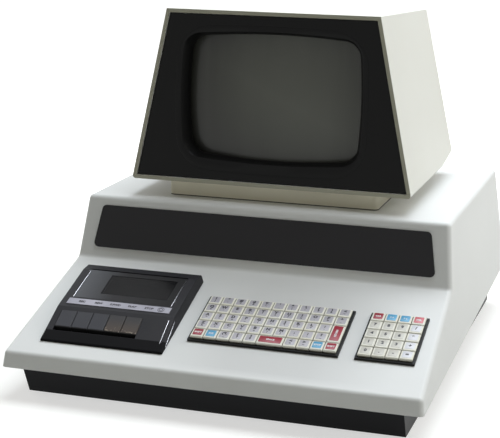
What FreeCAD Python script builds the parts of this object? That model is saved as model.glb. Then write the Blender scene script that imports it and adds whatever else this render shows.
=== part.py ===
import FreeCAD, Part
import math
import os
from types import SimpleNamespace

import Sketcher
from FreeCAD import Rotation, Vector

# A vintage all-in-one home computer: a black steel base tray, a hinged cream upper case with a
# cassette unit and two keypads on its sloping deck, and a monitor housing on a short neck.
# Millimetres and degrees. X to the right, Y to the back, Z up, the floor at zero.

SIZES = {
    # Upper case
    "case_width": 419.0,
    "case_depth": 478.0,
    "case_bottom": 32.0,
    "rear_bottom_rise": 17.5,
    "case_wall": 3.0,
    "case_corner": 5.0,
    "lip_height": 15.5,
    "lip_lean": 3.0,
    "deck_length": 166.7,
    "deck_angle": 19.7,
    "panel_length": 65.7,
    "panel_angle": 75.3,
    "back_lean": 19.1,
    "side_lean": 14.6,
    "post_width": 12.0,
    "post_inset": 28.5,
    "post_front_inset": 24.0,
    "post_bottom": 40.0,
    # Common clearances
    "gap": 0.3,
    "overrun": 5.0,
    # Badge plate
    "badge_thickness": 1.2,
    "badge_low": 11.0,
    "badge_height": 45.0,
    "badge_side_low": 17.3,
    "badge_side_high": 18.1,
    "badge_corner": 5.0,
    # Base tray
    "foot_height": 3.0,
    "foot_radius": 9.0,
    "foot_inset": 28.0,
    "foot_chamfer": 1.0,
    "pan_width": 380.0,
    "pan_front_inset": 19.6,
    "pan_back_inset": 7.5,
    "pan_front_lean": 12.5,
    "pan_front_rim": 42.0,
    "pan_back_rim": 58.0,
    "pan_wall": 2.0,
    "pan_post_width": 13.0,
    "pan_post_top": 34.0,
    "buffer_radius": 5.0,
    "boss_radius": 4.0,
    "boss_height": 8.0,
    "vent_length": 60.0,
    "vent_width": 4.0,
    "vent_pitch": 9.0,
    "vent_start_x": -60.0,
    "vent_start_y": -190.0,
    # Main board
    "board_left": -60.0,
    "board_width": 245.0,
    "board_front": -150.0,
    "board_back_gap": 6.0,
    "board_thickness": 1.6,
    "board_edge": 8.0,
    "chip_length": 20.0,
    "chip_width": 7.0,
    "chip_height": 4.0,
    "chip_pitch_x": 28.0,
    "chip_pitch_y": 17.0,
    "large_chip_length": 50.0,
    "large_chip_width": 14.0,
    "screw_radius": 3.0,
    "screw_height": 2.0,
    "slot_length": 60.0,
    "short_slot_length": 36.0,
    "slot_height": 17.0,
    "slot_below_board": 4.0,
    "slot_first_x": -10.0,
    "slot_pitch": 70.0,
    "side_slot_y": 60.0,
    # Mains parts on the back of the tray
    "switch_x": -74.0,
    "fitting_z": 17.5,
    "switch_flange_width": 28.0,
    "switch_flange_height": 25.0,
    "switch_flange": 1.5,
    "switch_body_width": 22.0,
    "switch_body_height": 21.0,
    "switch_body_depth": 22.0,
    "rocker_width": 15.0,
    "rocker_height": 15.0,
    "rocker_hole_height": 18.6,
    "rocker_depth": 7.0,
    "rocker_bulge": 1.6,
    "rocker_angle": 12.0,
    "rocker_pin": 1.5,
    "fuse_x": -102.0,
    "fuse_radius": 5.5,
    "fuse_flange_radius": 7.5,
    "fuse_flange": 1.5,
    "fuse_cap_radius": 6.0,
    "fuse_cap": 6.0,
    "fuse_depth": 32.0,
    "gland_x": -124.0,
    "gland_radius": 8.0,
    "gland_neck_radius": 6.0,
    "gland_bore": 3.5,
    "gland_flange": 3.0,
    "gland_depth": 9.0,
    # Power supply inside the tray
    "transformer_x": -142.0,
    "transformer_y": 165.0,
    "core_width": 64.0,
    "core_depth": 46.0,
    "core_height": 56.0,
    "coil_overhang": 12.0,
    "coil_margin": 11.0,
    "transformer_foot": 2.0,
    "transformer_foot_reach": 9.0,
    "capacitor_x": -145.0,
    "capacitor_y": 80.0,
    "capacitor_radius": 25.0,
    "capacitor_height": 92.0,
    "clamp_height": 12.0,
    "clamp_thickness": 1.5,
    "clamp_ear": 9.0,
    "terminal_radius": 4.0,
    "terminal_height": 5.0,
    "sink_x": -94.0,
    "sink_y": 40.0,
    "sink_width": 30.0,
    "sink_length": 90.0,
    "sink_height": 44.0,
    "sink_plate": 4.0,
    "fin_thickness": 1.6,
    "regulator_radius": 11.0,
    "regulator_height": 7.0,
    # Case hinge and stay rod
    "hinge_y_inset": 4.0,
    "hinge_z": 46.0,
    "hinge_x": 165.0,
    "hinge_length": 50.0,
    "knuckle_length": 14.0,
    "knuckle_radius": 3.0,
    "hinge_pin_radius": 1.4,
    "leaf_thickness": 1.4,
    "base_leaf_height": 14.0,
    "case_leaf_height": 26.0,
    "rod_x": -180.0,
    "rod_y": -150.0,
    "rod_z": 38.0,
    "rod_radius": 2.5,
    "rod_length": 300.0,
    "rod_eye_radius": 5.0,
    "rod_eye_side": 0.5,
    "rod_pin_radius": 1.5,
    "rod_tip": 6.5,
    "catch_y": -125.3,
    "catch_z": 53.1,
    "catch_angle": 49.0,
    "catch_length": 32.0,
    "catch_thickness": 2.0,
    "catch_reach": 3.5,
    "lug_thickness": 3.0,
    "lug_width": 12.0,
    # Keypads
    "key_pitch": 13.3,
    "key_top": 12.7,
    "key_skirt": 11.3,
    "key_web": 1.4,
    "key_rise": 5.4,
    "key_tile": 1.8,
    "key_chamfer": 0.7,
    "key_depth": 4.4,
    "key_stem": 4.0,
    "key_stem_reach": 2.3,
    "keypad_border": 2.0,
    "keypad_rim": 2.4,
    "keypad_web_top": 0.7,
    "keypad_seat": 3.0,
    "keypad_front": 45.0,
    "keyboard_left": -33.0,
    "numpad_left": 133.2,
    "keyboard_board_thickness": 1.6,
    "keyboard_board_margin": 5.0,
    "keyboard_board_depth": 9.6,
    # Cassette unit
    "unit_x": -114.0,
    "unit_width": 128.0,
    "unit_front": 21.0,
    "unit_length": 120.0,
    "unit_rise": 12.0,
    "unit_front_rise": 2.5,
    "unit_back_rise": 8.5,
    "unit_back_slope": 13.0,
    "unit_slope_length": 43.0,
    "unit_side_lean": 2.0,
    "unit_wall": 2.5,
    "unit_box_depth": 24.0,
    "unit_box_inset": 4.0,
    "lid_width": 106.0,
    "lid_front": 80.4,
    "lid_length": 49.2,
    "lid_thickness": 3.0,
    "lid_side_depth": 9.0,
    "lid_side": 2.0,
    "lid_pin_radius": 1.5,
    "lid_pin_reach": 2.6,
    "lug_bore_wall": 2.2,
    "window_width": 72.0,
    "window_length": 32.0,
    "window_left": 26.0,
    "window_front": 9.0,
    "window_thickness": 1.5,
    "window_ledge": 2.0,
    "strip_front": 68.5,
    "strip_length": 9.0,
    "strip_width": 110.0,
    "strip_thickness": 0.6,
    "piano_left": -169.5,
    "piano_pitch": 17.4,
    "piano_width": 16.8,
    "piano_front": 38.0,
    "piano_back": 58.5,
    "piano_proud": 1.0,
    "piano_skirt": 7.5,
    "piano_arm_top": 9.0,
    "piano_arm_thickness": 5.0,
    "piano_hub_s": 66.0,
    "piano_hub_depth": 11.5,
    "piano_hub_radius": 3.4,
    "piano_shaft_radius": 1.5,
    "piano_recess": 4.5,
    "chassis_depth": 6.0,
    "chassis_thickness": 1.2,
    "chassis_front": 59.5,
    "chassis_back": 138.0,
    "chassis_side_height": 9.0,
    "spindle_spacing": 42.5,
    "spindle_s": 99.0,
    "spindle_radius": 2.8,
    "spindle_hub_radius": 5.0,
    "spindle_hub_height": 3.0,
    "spindle_height": 11.0,
    "spline_reach": 1.2,
    "spline_width": 1.2,
    "head_width": 15.0,
    "head_depth": 6.0,
    "head_height": 9.0,
    "head_s": 70.0,
    "capstan_x": -92.0,
    "capstan_s": 74.0,
    "capstan_radius": 1.3,
    "capstan_height": 12.0,
    "flywheel_radius": 18.0,
    "flywheel_thickness": 5.0,
    "flywheel_drop": 11.0,
    "pinch_x": -80.0,
    "pinch_radius": 5.5,
    "pinch_height": 6.0,
    "pinch_pin_radius": 1.0,
    "motor_x": -148.0,
    "motor_s": 112.0,
    "motor_radius": 14.0,
    "motor_length": 16.0,
    "motor_post_radius": 2.0,
    "pulley_radius": 5.0,
    "belt_thickness": 1.0,
    "belt_width": 3.0,
    # Monitor
    "neck_height": 18.0,
    "neck_half_width": 114.0,
    "neck_setback": 205.0,
    "neck_depth": 130.0,
    "neck_wall": 3.0,
    "machine_height": 365.0,
    "monitor_setback": 191.7,
    "face_lean": 8.9,
    "monitor_top_depth": 209.9,
    "monitor_top_drop": 10.7,
    "monitor_bottom_depth": 226.0,
    "kink_depth": 152.3,
    "kink_rise": 8.8,
    "monitor_bottom_width": 302.8,
    "monitor_top_width": 226.8,
    "monitor_wall": 4.0,
    "monitor_corner": 3.0,
    "bezel_recess": 1.5,
    "bezel_thickness": 3.0,
    "mask_half_width": 98.0,
    "mask_half_height": 71.0,
    "mask_corner": 30.0,
    "mask_wall": 3.0,
    "mask_depth": 24.0,
    "screen_half_width": 91.5,
    "screen_half_height": 65.0,
    "screen_corner": 22.0,
    "screen_bulge": 3.0,
    "glass_recess": 11.0,
    "glass_radius": 600.0,
    "glass_margin": 4.0,
    "glass_depth": 34.0,
    "funnel_middle": 80.0,
    "funnel_middle_half_width": 60.0,
    "funnel_middle_half_height": 46.0,
    "funnel_end": 128.0,
    "tube_neck_radius": 14.0,
    "tube_length": 182.0,
    "tube_base_radius": 11.0,
    "tube_base": 8.0,
    "yoke_front_radius": 36.0,
    "yoke_back_radius": 27.0,
    "yoke_length": 34.0,
    "yoke_bell": 9.0,
    "bracket_size": 14.0,
    "bracket_depth": 12.0,
    "deflection_board_front": 40.0,
    "deflection_board_width": 190.0,
    "deflection_board_depth": 95.0,
    "deflection_board_lift": 5.0,
    "flyback_x": 74.0,
    "flyback_width": 32.0,
    "flyback_height": 42.0,
    "flyback_coil_radius": 17.0,
    "heat_tab_height": 30.0,
    "rear_recess": 3.0,
    "rear_thickness": 2.0,
    "rear_slot_length": 46.0,
    "rear_slot_width": 4.0,
    "rear_slot_pitch": 10.0,
    "rear_slot_start": 34.0,
    "rear_slot_half_space": 36.0,
    "rear_screw_radius": 3.5,
    "knob_x": 86.0,
    "knob_drop": 140.0,
    "knob_radius": 8.0,
    "knob_height": 9.0,
    "knob_shaft_radius": 2.0,
    "knob_flute": 0.8,
    "knob_pointer": 1.2,
}

# Places across the machine where the posts, bosses and rows stand, as shares of a named size.
BOSS_X_SHARES = (0.04, 0.5, 0.96)
BOSS_Y_SHARES = (0.04, 0.62)
CHIP_COLUMNS = 8
CHIP_ROWS = 5
LARGE_CHIPS = 4
FLOOR_VENTS = 14
REAR_VENTS = 9
SINK_FINS = 6
FUNNEL_SIDES = 28
SQUARENESS = 0.45
SPLINES = 3
PIANO_NAMES = ("record_key", "rewind_key", "forward_key", "play_key", "stop_key")

# The keyboard: each cell is (column, row from the front, columns wide, rows deep).
KEYBOARD_COLUMNS = 11
KEYBOARD_ROWS = 5
NUMPAD_COLUMNS = 4
NUMPAD_ROWS = 5
SPECIAL_KEYS = {
    "shift_key_left": (0, 0, 1, 1),
    "blue_key_left": (1, 0, 1, 1),
    "space_key": (5, 0, 2, 1),
    "blue_key_right": (9, 0, 1, 1),
    "shift_key_right": (10, 0, 1, 1),
    "return_key": (10, 1, 1, 2),
}

doc = FreeCAD.newDocument("home_computer")
sheet = doc.addObject("Spreadsheet::Sheet", "sizes")
for row, (name, value) in enumerate(SIZES.items(), 1):
    sheet.set(f"A{row}", name)
    sheet.set(f"B{row}", str(value))
    sheet.setAlias(f"B{row}", name)
doc.recompute()


class Size:
    """A length, angle or ratio: its formula over the sheet's cells and its present value."""

    def __init__(self, text, value):
        self.text = text
        self.value = value

    def __add__(self, other):
        return joined(self, "+", other, self.value + plain(other))

    def __radd__(self, other):
        return joined(other, "+", self, plain(other) + self.value)

    def __sub__(self, other):
        return joined(self, "-", other, self.value - plain(other))

    def __rsub__(self, other):
        return joined(other, "-", self, plain(other) - self.value)

    def __mul__(self, other):
        return joined(self, "*", other, self.value * plain(other))

    def __rmul__(self, other):
        return joined(other, "*", self, plain(other) * self.value)

    def __truediv__(self, other):
        return joined(self, "/", other, self.value / plain(other))

    def __neg__(self):
        return Size(f"(-{self.text})", -self.value)


def plain(size):
    """The number of a size or of a plain count."""
    return size.value if isinstance(size, Size) else float(size)


def written(size):
    """The formula of a size or of a plain count."""
    return size.text if isinstance(size, Size) else repr(size)


def joined(first, sign, second, value):
    return Size(f"({written(first)} {sign} {written(second)})", value)


def sine(angle):
    return Size(f"sin({angle.text})", math.sin(math.radians(angle.value)))


def cosine(angle):
    return Size(f"cos({angle.text})", math.cos(math.radians(angle.value)))


def angle_of(rise, run):
    """The angle whose tangent is rise over run, in degrees."""
    value = math.degrees(math.atan2(rise.value, run.value))
    return Size(f"atan({rise.text} / {run.text})", value)


s = SimpleNamespace(**{name: Size(f"sizes.{name}", value) for name, value in SIZES.items()})


class Frame:
    """A plane across the machine: its origin in Y and Z, and its tilt about the X axis."""

    def __init__(self, y, z, angle=None):
        self.y = y
        self.z = z
        self.angle = angle

    def point(self, x, along, up):
        """The machine's own X, Y and Z of a point given along and square to the plane."""
        if self.angle is None:
            return x, self.y + along, self.z + up
        cos, sin = cosine(self.angle), sine(self.angle)
        return x, self.y + along * cos - up * sin, self.z + along * sin + up * cos


def bind(obj, **sizes):
    """Tie properties of an object to formulas over the sheet."""
    for name, size in sizes.items():
        if isinstance(size, Size):
            obj.setExpression(name, size.text)
        else:
            setattr(obj, name, size)


def put(obj, point, frame=None):
    """Move an object to a point, turned with the frame."""
    if frame is not None and frame.angle is not None:
        obj.Placement.Rotation = Rotation(Vector(1, 0, 0), frame.angle.value)
        obj.setExpression("Placement.Rotation.Angle", frame.angle.text)
    if frame is not None:
        point = frame.point(*point)
    for axis, size in zip("xyz", point):
        if isinstance(size, Size):
            obj.setExpression(f"Placement.Base.{axis}", size.text)
    return obj


def box(low, spread, frame=None):
    """A block from its low corner and its three sizes."""
    obj = doc.addObject("Part::Box", "block")
    bind(obj, Length=spread[0], Width=spread[1], Height=spread[2])
    return put(obj, low, frame)


def centred_box(x, low_y, low_z, spread, frame=None):
    """A block centred on X."""
    return box((x - spread[0] / 2, low_y, low_z), spread, frame)


AXES = {
    "x": Rotation(Vector(0, 1, 0), 90),
    "y": Rotation(Vector(1, 0, 0), -90),
    "z": Rotation(),
}


def cylinder(base, radius, height, axis="z", end_radius=None):
    """A round bar or cone from the centre of its base along one axis of the machine."""
    if end_radius is None:
        obj = doc.addObject("Part::Cylinder", "bar")
        bind(obj, Radius=radius, Height=height)
    else:
        obj = doc.addObject("Part::Cone", "cone")
        bind(obj, Radius1=radius, Radius2=end_radius, Height=height)
    obj.Placement.Rotation = AXES[axis]
    return put(obj, base)


def hexagon(base, radius, height):
    """An upright six-sided bar, such as a screw head or a stand-off."""
    obj = doc.addObject("Part::Prism", "hexagon")
    bind(obj, Circumradius=radius, Height=height)
    return put(obj, base)


def cut(base, *tools):
    """The base with tools taken away; tools that lie apart are taken together."""
    tool = tools[0]
    if len(tools) > 1:
        tool = doc.addObject("Part::Compound", "cuts")
        tool.Links = list(tools)
    obj = doc.addObject("Part::Cut", "cut")
    obj.Base, obj.Tool = base, tool
    return obj


def fuse(*parts):
    obj = doc.addObject("Part::MultiFuse", "joined")
    obj.Shapes = list(parts)
    obj.Refine = True
    return obj


def common(first, second):
    obj = doc.addObject("Part::MultiCommon", "shared")
    obj.Shapes = [first, second]
    obj.Refine = True
    return obj


def group(*parts):
    """Separate solids that share one node."""
    obj = doc.addObject("Part::Compound", "set")
    obj.Links = list(parts)
    return obj


def solid(shape, name="form"):
    obj = doc.addObject("Part::Feature", name)
    obj.Shape = shape
    return obj


def round_edges(base, radius, wanted):
    """Fillet the edges for which wanted(edge) holds."""
    doc.recompute()
    numbers = [n for n, edge in enumerate(base.Shape.Edges, 1) if wanted(edge)]
    obj = doc.addObject("Part::Fillet", "rounded")
    obj.Base = base
    obj.Edges = [(n, radius.value, radius.value) for n in numbers]
    return obj


def bevel_edges(base, size, wanted):
    doc.recompute()
    numbers = [n for n, edge in enumerate(base.Shape.Edges, 1) if wanted(edge)]
    obj = doc.addObject("Part::Chamfer", "bevelled")
    obj.Base = base
    obj.Edges = [(n, size.value, size.value) for n in numbers]
    return obj


PLANES = {"xy": "XY_Plane", "xz": "XZ_Plane", "yz": "YZ_Plane"}


def outline(body, plane, points, offset=None):
    """A closed sketch through the points, each tied to the sheet by its two distances."""
    sketch = body.newObject("Sketcher::SketchObject", "outline")
    origin = [f for f in body.Origin.OriginFeatures if f.Role == PLANES[plane]]
    sketch.AttachmentSupport = [(origin[0], "")]
    sketch.MapMode = "FlatFace"
    if offset is not None:
        sketch.setExpression("AttachmentOffset.Base.z", offset.text)
    places = [Vector(plain(u), plain(v), 0) for u, v in points]
    for n, place in enumerate(places):
        sketch.addGeometry(Part.LineSegment(place, places[(n + 1) % len(places)]), False)
    for n, (u, v) in enumerate(points):
        sketch.addConstraint(Sketcher.Constraint("Coincident", n, 2, (n + 1) % len(points), 1))
    for n, (u, v) in enumerate(points):
        for kind, size in (("DistanceX", u), ("DistanceY", v)):
            number = sketch.addConstraint(Sketcher.Constraint(kind, -1, 1, n, 1, plain(size)))
            if isinstance(size, Size):
                sketch.setExpression(f"Constraints[{number}]", size.text)
    return sketch


def prism(plane, points, start, length):
    """A straight solid over an outline; its sketch lies at start and it grows by length."""
    body = doc.addObject("PartDesign::Body", "prism")
    sketch = outline(body, plane, points, start)
    pad = body.newObject("PartDesign::Pad", "pad")
    pad.Profile = sketch
    bind(pad, Length=length)
    body.Tip = pad
    return body


def across(points, width, centre=None):
    """A solid over a side-view outline of (y, z) points, spread to both sides of the centre."""
    start = -(width / 2) if centre is None else centre - width / 2
    return prism("yz", points, start, width)


def horizontal_level(height):
    """A test for points of edges on one level."""
    return lambda edge: all(abs(v.Z - height.value) < TINY for v in edge.Vertexes)


TINY = 1e-4
subparts = {}


def keep(label, obj):
    """Name a finished sub-part."""
    obj.Label = label
    subparts[label] = obj
    return obj


# Main planes of the machine
front = -s.case_depth / 2
back = s.case_depth / 2
lip_top = s.case_bottom + s.lip_height
deck = Frame(front + s.lip_lean, lip_top, s.deck_angle)
foot_y, foot_z = deck.point(0, s.deck_length, 0 * s.gap)[1:]
panel = Frame(foot_y, foot_z, s.panel_angle)
top_front, case_top = panel.point(0, s.panel_length, 0 * s.gap)[1:]
housing_bottom = case_top + s.neck_height
housing_height = s.machine_height - housing_bottom
monitor_front = front + s.monitor_setback
face_tilt = angle_of(housing_height, s.face_lean)
face = Frame(monitor_front, housing_bottom, face_tilt)
rear_top = monitor_front + s.face_lean + s.monitor_top_depth
rear_bottom = monitor_front + s.monitor_bottom_depth
rear_top_z = s.machine_height - s.monitor_top_drop
rear_drop = rear_top_z - housing_bottom - s.kink_rise
rear_tilt = -angle_of(rear_drop, rear_bottom - rear_top)
rear = Frame(rear_top, rear_top_z, rear_tilt)
case_back_bottom = s.case_bottom + s.rear_bottom_rise


post_x = s.case_width / 2 - s.post_inset
post_y = front + s.post_front_inset + s.post_width / 2


def deck_height(y):
    """Height of the deck's outer face at a place along the machine."""
    return lip_top + (y - front - s.lip_lean) * sine(s.deck_angle) / cosine(s.deck_angle)


def case_half_width(height):
    """Half the case's width at a height: its sides lean in towards the top."""
    share = (height - s.case_bottom) / (case_top - s.case_bottom)
    return s.case_width / 2 - s.side_lean * share


def monitor_half_width(height):
    """Half the monitor housing's width at a height."""
    step = (s.monitor_bottom_width - s.monitor_top_width) / 2
    return s.monitor_bottom_width / 2 - step * (height - housing_bottom) / housing_height


# Upper case
def deck_opening(left, width, low, length):
    """A block that cuts through the deck."""
    return box((left, low, -s.case_wall * 3), (width, length, s.case_wall * 6), deck)


keyboard_width = s.key_pitch * KEYBOARD_COLUMNS + s.keypad_border * 2
numpad_width = s.key_pitch * NUMPAD_COLUMNS + s.keypad_border * 2
keypad_length = s.key_pitch * KEYBOARD_ROWS + s.keypad_border * 2
unit_left = s.unit_x - s.unit_width / 2


def catch_pieces():
    """A slanting rail with an end lip on the left wall: the stay rod's tip slides along it."""
    rail = Frame(s.catch_y, s.catch_z, s.catch_angle)
    left = -case_half_width(s.catch_z) + s.case_wall / 2
    width = -left + s.rod_x - s.rod_radius - s.gap * 3
    reach, thick = s.catch_reach, s.catch_thickness
    slope = box((left, -reach - thick, reach), (width, s.catch_length, thick), rail)
    lip = box((left, -reach - thick, -reach), (width, thick, reach * 2 + s.gap), rail)
    return slope, lip


def make_upper_case():
    side_view = [
        (front, s.case_bottom),
        (front + s.lip_lean, lip_top),
        (foot_y, foot_z),
        (top_front, case_top),
        (back - s.back_lean, case_top),
        (back, case_back_bottom),
    ]
    slab = across(side_view, s.case_width)
    high = case_top + s.overrun
    front_view = [
        (-case_half_width(s.case_bottom - s.overrun), s.case_bottom - s.overrun),
        (case_half_width(s.case_bottom - s.overrun), s.case_bottom - s.overrun),
        (case_half_width(high), high),
        (-case_half_width(high), high),
    ]
    wedge = prism("xz", front_view, -s.case_depth, s.case_depth * 2)
    block = common(slab, wedge)
    doc.recompute()
    low_faces = [
        f"Face{n}"
        for n, side in enumerate(block.Shape.Faces, 1)
        if side.normalAt(0, 0).z < -0.9
    ]
    shell = doc.addObject("Part::Thickness", "shell")
    shell.Faces = (block, low_faces)
    shell.Join = 2
    bind(shell, Value=-s.case_wall)
    outside = [v.Point for v in block.Shape.Vertexes]
    slope = s.rear_bottom_rise.value / s.case_depth.value

    def outer_edge(edge):
        ends = [v.Point for v in edge.Vertexes]
        near = all(min((end - p).Length for p in outside) < TINY for end in ends)
        heights = [end.z - s.case_bottom.value - slope * (end.y - front.value) for end in ends]
        return near and max(heights) > s.case_wall.value

    rounded = round_edges(shell, s.case_corner, outer_edge)
    seat = s.keypad_seat
    openings = cut(
        rounded,
        deck_opening(
            s.keyboard_left + seat, keyboard_width - seat * 2, s.keypad_front + seat, keypad_length - seat * 2
        ),
        deck_opening(
            s.numpad_left + seat, numpad_width - seat * 2, s.keypad_front + seat, keypad_length - seat * 2
        ),
        deck_opening(
            unit_left + s.unit_box_inset - s.gap,
            s.unit_width - s.unit_box_inset * 2 + s.gap * 2,
            s.unit_front + s.unit_box_inset - s.gap,
            s.unit_length - s.unit_box_inset * 2 + s.gap * 2,
        ),
        box(
            (-s.neck_half_width / 2, front + s.neck_setback + s.neck_depth / 4, case_top - s.case_wall * 2),
            (s.neck_half_width, s.neck_depth / 2, s.case_wall * 4),
        ),
    )
    posts = []
    low = post_y - s.post_width / 2
    high = post_y + s.post_width / 2
    drop = s.case_wall / 2
    side_view = [
        (low, s.post_bottom),
        (high, s.post_bottom),
        (high, deck_height(high) - drop),
        (low, deck_height(low) - drop),
    ]
    for side in (-1, 1):
        posts.append(across(side_view, s.post_width, side * post_x))
    body = fuse(openings, *posts, *catch_pieces())
    return keep("upper_case", body)


def make_badge_panel():
    """The bare black name panel, let on to the steep front of the case."""
    low, high = s.badge_low, s.badge_low + s.badge_height
    half_low = case_half_width(foot_z) - s.badge_side_low
    half_high = case_half_width(case_top) - s.badge_side_high
    plate = prism("xy", [(-half_low, low), (half_low, low), (half_high, high), (-half_high, high)], 0 * s.gap,
                  s.badge_thickness)
    corners = round_edges(plate, s.badge_corner, lambda edge: abs(edge.tangentAt(0).z) > 0.99)
    return keep("badge_panel", put(corners, (0, 0 * s.gap, 0 * s.gap), panel))


# Base tray
pan_front = front + s.pan_front_inset
rod_eye_half = s.rod_radius + s.rod_eye_side
pan_back = back - s.pan_back_inset
pan_floor = s.foot_height + s.pan_wall
board_low = pan_floor + s.boss_height
board_top = board_low + s.board_thickness
board_back = pan_back + s.board_back_gap - s.pan_wall


def pan_side_view(inset, rise):
    """The tray's side view; the inside is drawn in by an inset and runs out at the top."""
    lip = pan_front - s.pan_front_lean + inset
    return [
        (pan_front + inset, s.foot_height + inset),
        (pan_back - inset, s.foot_height + inset),
        (pan_back - inset, s.pan_back_rim + rise),
        (lip, s.pan_front_rim + rise),
        (lip, s.case_bottom),
    ]


def board_bosses():
    for x_share in BOSS_X_SHARES:
        for y_share in BOSS_Y_SHARES:
            depth = pan_back - s.board_front
            yield s.board_left + s.board_width * x_share, s.board_front + depth * y_share


def port_places():
    """Left edge and length of each edge connector in the back wall."""
    yield s.slot_first_x - s.short_slot_length, s.short_slot_length
    yield s.slot_first_x + s.board_edge * 2, s.slot_length
    yield s.slot_first_x + s.board_edge * 2 + s.slot_pitch, s.slot_length


def make_base_pan():
    outer = across(pan_side_view(0 * s.gap, 0 * s.gap), s.pan_width)
    inner = across(pan_side_view(s.pan_wall, s.overrun), s.pan_width - s.pan_wall * 2)
    tray = cut(outer, inner)
    adds = []
    for x, y in board_bosses():
        adds.append(hexagon((x, y, s.foot_height), s.boss_radius, s.boss_height + s.pan_wall))
    for side in (-1, 1):
        low = post_y - s.pan_post_width / 2
        height = s.pan_post_top - s.foot_height
        adds.append(
            centred_box(side * post_x, low, s.foot_height, (s.pan_post_width, s.pan_post_width, height))
        )
    lug_x = s.rod_x - rod_eye_half - s.gap - s.lug_thickness
    height = s.rod_z + s.rod_eye_radius - s.foot_height
    adds.append(box((lug_x, s.rod_y - s.lug_width / 2, s.foot_height), (s.lug_thickness, s.lug_width, height)))
    rest_height = s.rod_z - s.rod_radius - s.gap - s.foot_height
    rest_y = s.rod_y + s.rod_length * 3 / 5
    adds.append(box((lug_x, rest_y, s.foot_height), (s.lug_width, s.lug_thickness, rest_height)))
    body = fuse(tray, *adds)
    cuts = []
    wall_low = pan_back - s.pan_wall * 2
    for left, length in port_places():
        cuts.append(
            box((left, wall_low, board_low - s.slot_below_board), (length, s.pan_wall * 4, s.slot_height))
        )
    hole_half = s.switch_body_height + s.gap * 2
    cuts.append(
        centred_box(
            s.switch_x,
            wall_low,
            s.fitting_z - hole_half / 2,
            (s.switch_body_width + s.gap * 2, s.pan_wall * 4, hole_half),
        )
    )
    cuts.append(cylinder((s.fuse_x, wall_low, s.fitting_z), s.fuse_radius + s.gap, s.pan_wall * 4, "y"))
    cuts.append(cylinder((s.gland_x, wall_low, s.fitting_z), s.gland_neck_radius + s.gap, s.pan_wall * 4, "y"))
    cuts.append(
        box(
            (s.pan_width / 2 - s.pan_wall * 2, s.side_slot_y, board_low - s.slot_below_board),
            (s.pan_wall * 4, s.slot_length, s.slot_height),
        )
    )
    for n in range(FLOOR_VENTS):
        cuts.append(
            box(
                (s.vent_start_x + s.vent_pitch * n, s.vent_start_y, s.foot_height - s.pan_wall),
                (s.vent_width, s.vent_length / 2, s.pan_wall * 3),
            )
        )
    cuts.append(cylinder((lug_x - s.gap, s.rod_y, s.rod_z), s.rod_pin_radius + s.gap, s.lug_thickness * 2, "x"))
    return keep("base_pan", cut(body, *cuts))


def make_rubber_feet():
    feet = []
    for x_side in (-1, 1):
        x = x_side * (s.pan_width / 2 - s.foot_inset)
        for y in (pan_front + s.foot_inset, pan_back - s.foot_inset):
            tread = s.foot_radius - s.foot_chamfer
            feet.append(cylinder((x, y, 0), tread, s.foot_height, "z", s.foot_radius))
    for side in (-1, 1):
        height = s.post_bottom - s.pan_post_top - s.gap
        feet.append(cylinder((side * post_x, post_y, s.pan_post_top), s.buffer_radius, height))
    return keep("rubber_feet", group(*feet))


def make_main_board():
    low = s.board_front
    length = pan_back - s.pan_wall - s.gap - low
    sheet_body = box((s.board_left, low, board_low), (s.board_width, length, s.board_thickness))
    tongues = []
    for left, width in port_places():
        tongue = width - s.board_edge
        tongues.append(
            box(
                (left + s.board_edge / 2, board_back - s.board_edge * 3, board_low),
                (tongue, s.board_edge * 3, s.board_thickness),
            )
        )
    side_width = s.pan_width / 2 - s.board_left - s.board_width + s.pan_wall
    tongues.append(
        box(
            (s.board_left + s.board_width, s.side_slot_y + s.board_edge / 2, board_low),
            (side_width, s.slot_length - s.board_edge, s.board_thickness),
        )
    )
    card = fuse(sheet_body, *tongues)
    pieces = [card]
    first_x = s.board_left + s.board_edge
    first_y = s.board_front + s.board_edge * 3
    for column in range(CHIP_COLUMNS):
        for row in range(CHIP_ROWS):
            low = (first_x + s.chip_pitch_x * column, first_y + s.chip_pitch_y * row, board_top)
            pieces.append(box(low, (s.chip_length, s.chip_width, s.chip_height)))
    large_y = first_y + s.chip_pitch_y * CHIP_ROWS + s.board_edge
    for n in range(LARGE_CHIPS):
        low = (first_x + (s.large_chip_length + s.board_edge) * n, large_y, board_top)
        pieces.append(box(low, (s.large_chip_length, s.large_chip_width, s.chip_height)))
    for x, y in board_bosses():
        pieces.append(hexagon((x, y, board_top), s.screw_radius, s.screw_height))
    return keep("main_board", group(*pieces))


def make_power_switch():
    half_width, half_height = s.switch_flange_width / 2, s.switch_flange_height / 2
    flange = box(
        (s.switch_x - half_width, pan_back, s.fitting_z - half_height),
        (s.switch_flange_width, s.switch_flange, s.switch_flange_height),
    )
    depth = s.switch_body_depth
    inner = centred_box(
        s.switch_x,
        pan_back - depth,
        s.fitting_z - s.switch_body_height / 2,
        (s.switch_body_width, depth, s.switch_body_height),
    )
    hole = centred_box(
        s.switch_x,
        pan_back - s.rocker_depth * 2,
        s.fitting_z - s.rocker_hole_height / 2,
        (s.rocker_width + s.gap * 2, s.rocker_depth * 3, s.rocker_hole_height),
    )
    return keep("power_switch", cut(fuse(flange, inner), hole))


def make_switch_rocker():
    """A rocker with a shallow V face, lying pressed at its upper end."""
    half = s.rocker_height / 2
    side_view = [
        (-s.rocker_pin * 2, -s.rocker_pin * 2),
        (s.rocker_depth - s.rocker_bulge, -half),
        (s.rocker_depth + s.rocker_bulge, -half),
        (s.rocker_depth, 0),
        (s.rocker_depth + s.rocker_bulge, half),
        (s.rocker_depth - s.rocker_bulge, half),
        (-s.rocker_pin * 2, s.rocker_pin * 2),
    ]
    body = across(side_view, s.rocker_width)
    tilted = Frame(pan_back + s.switch_flange - s.rocker_depth, s.fitting_z, s.rocker_angle)
    return keep("switch_rocker", put(body, (s.switch_x, 0 * s.gap, 0 * s.gap), tilted))


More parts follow.
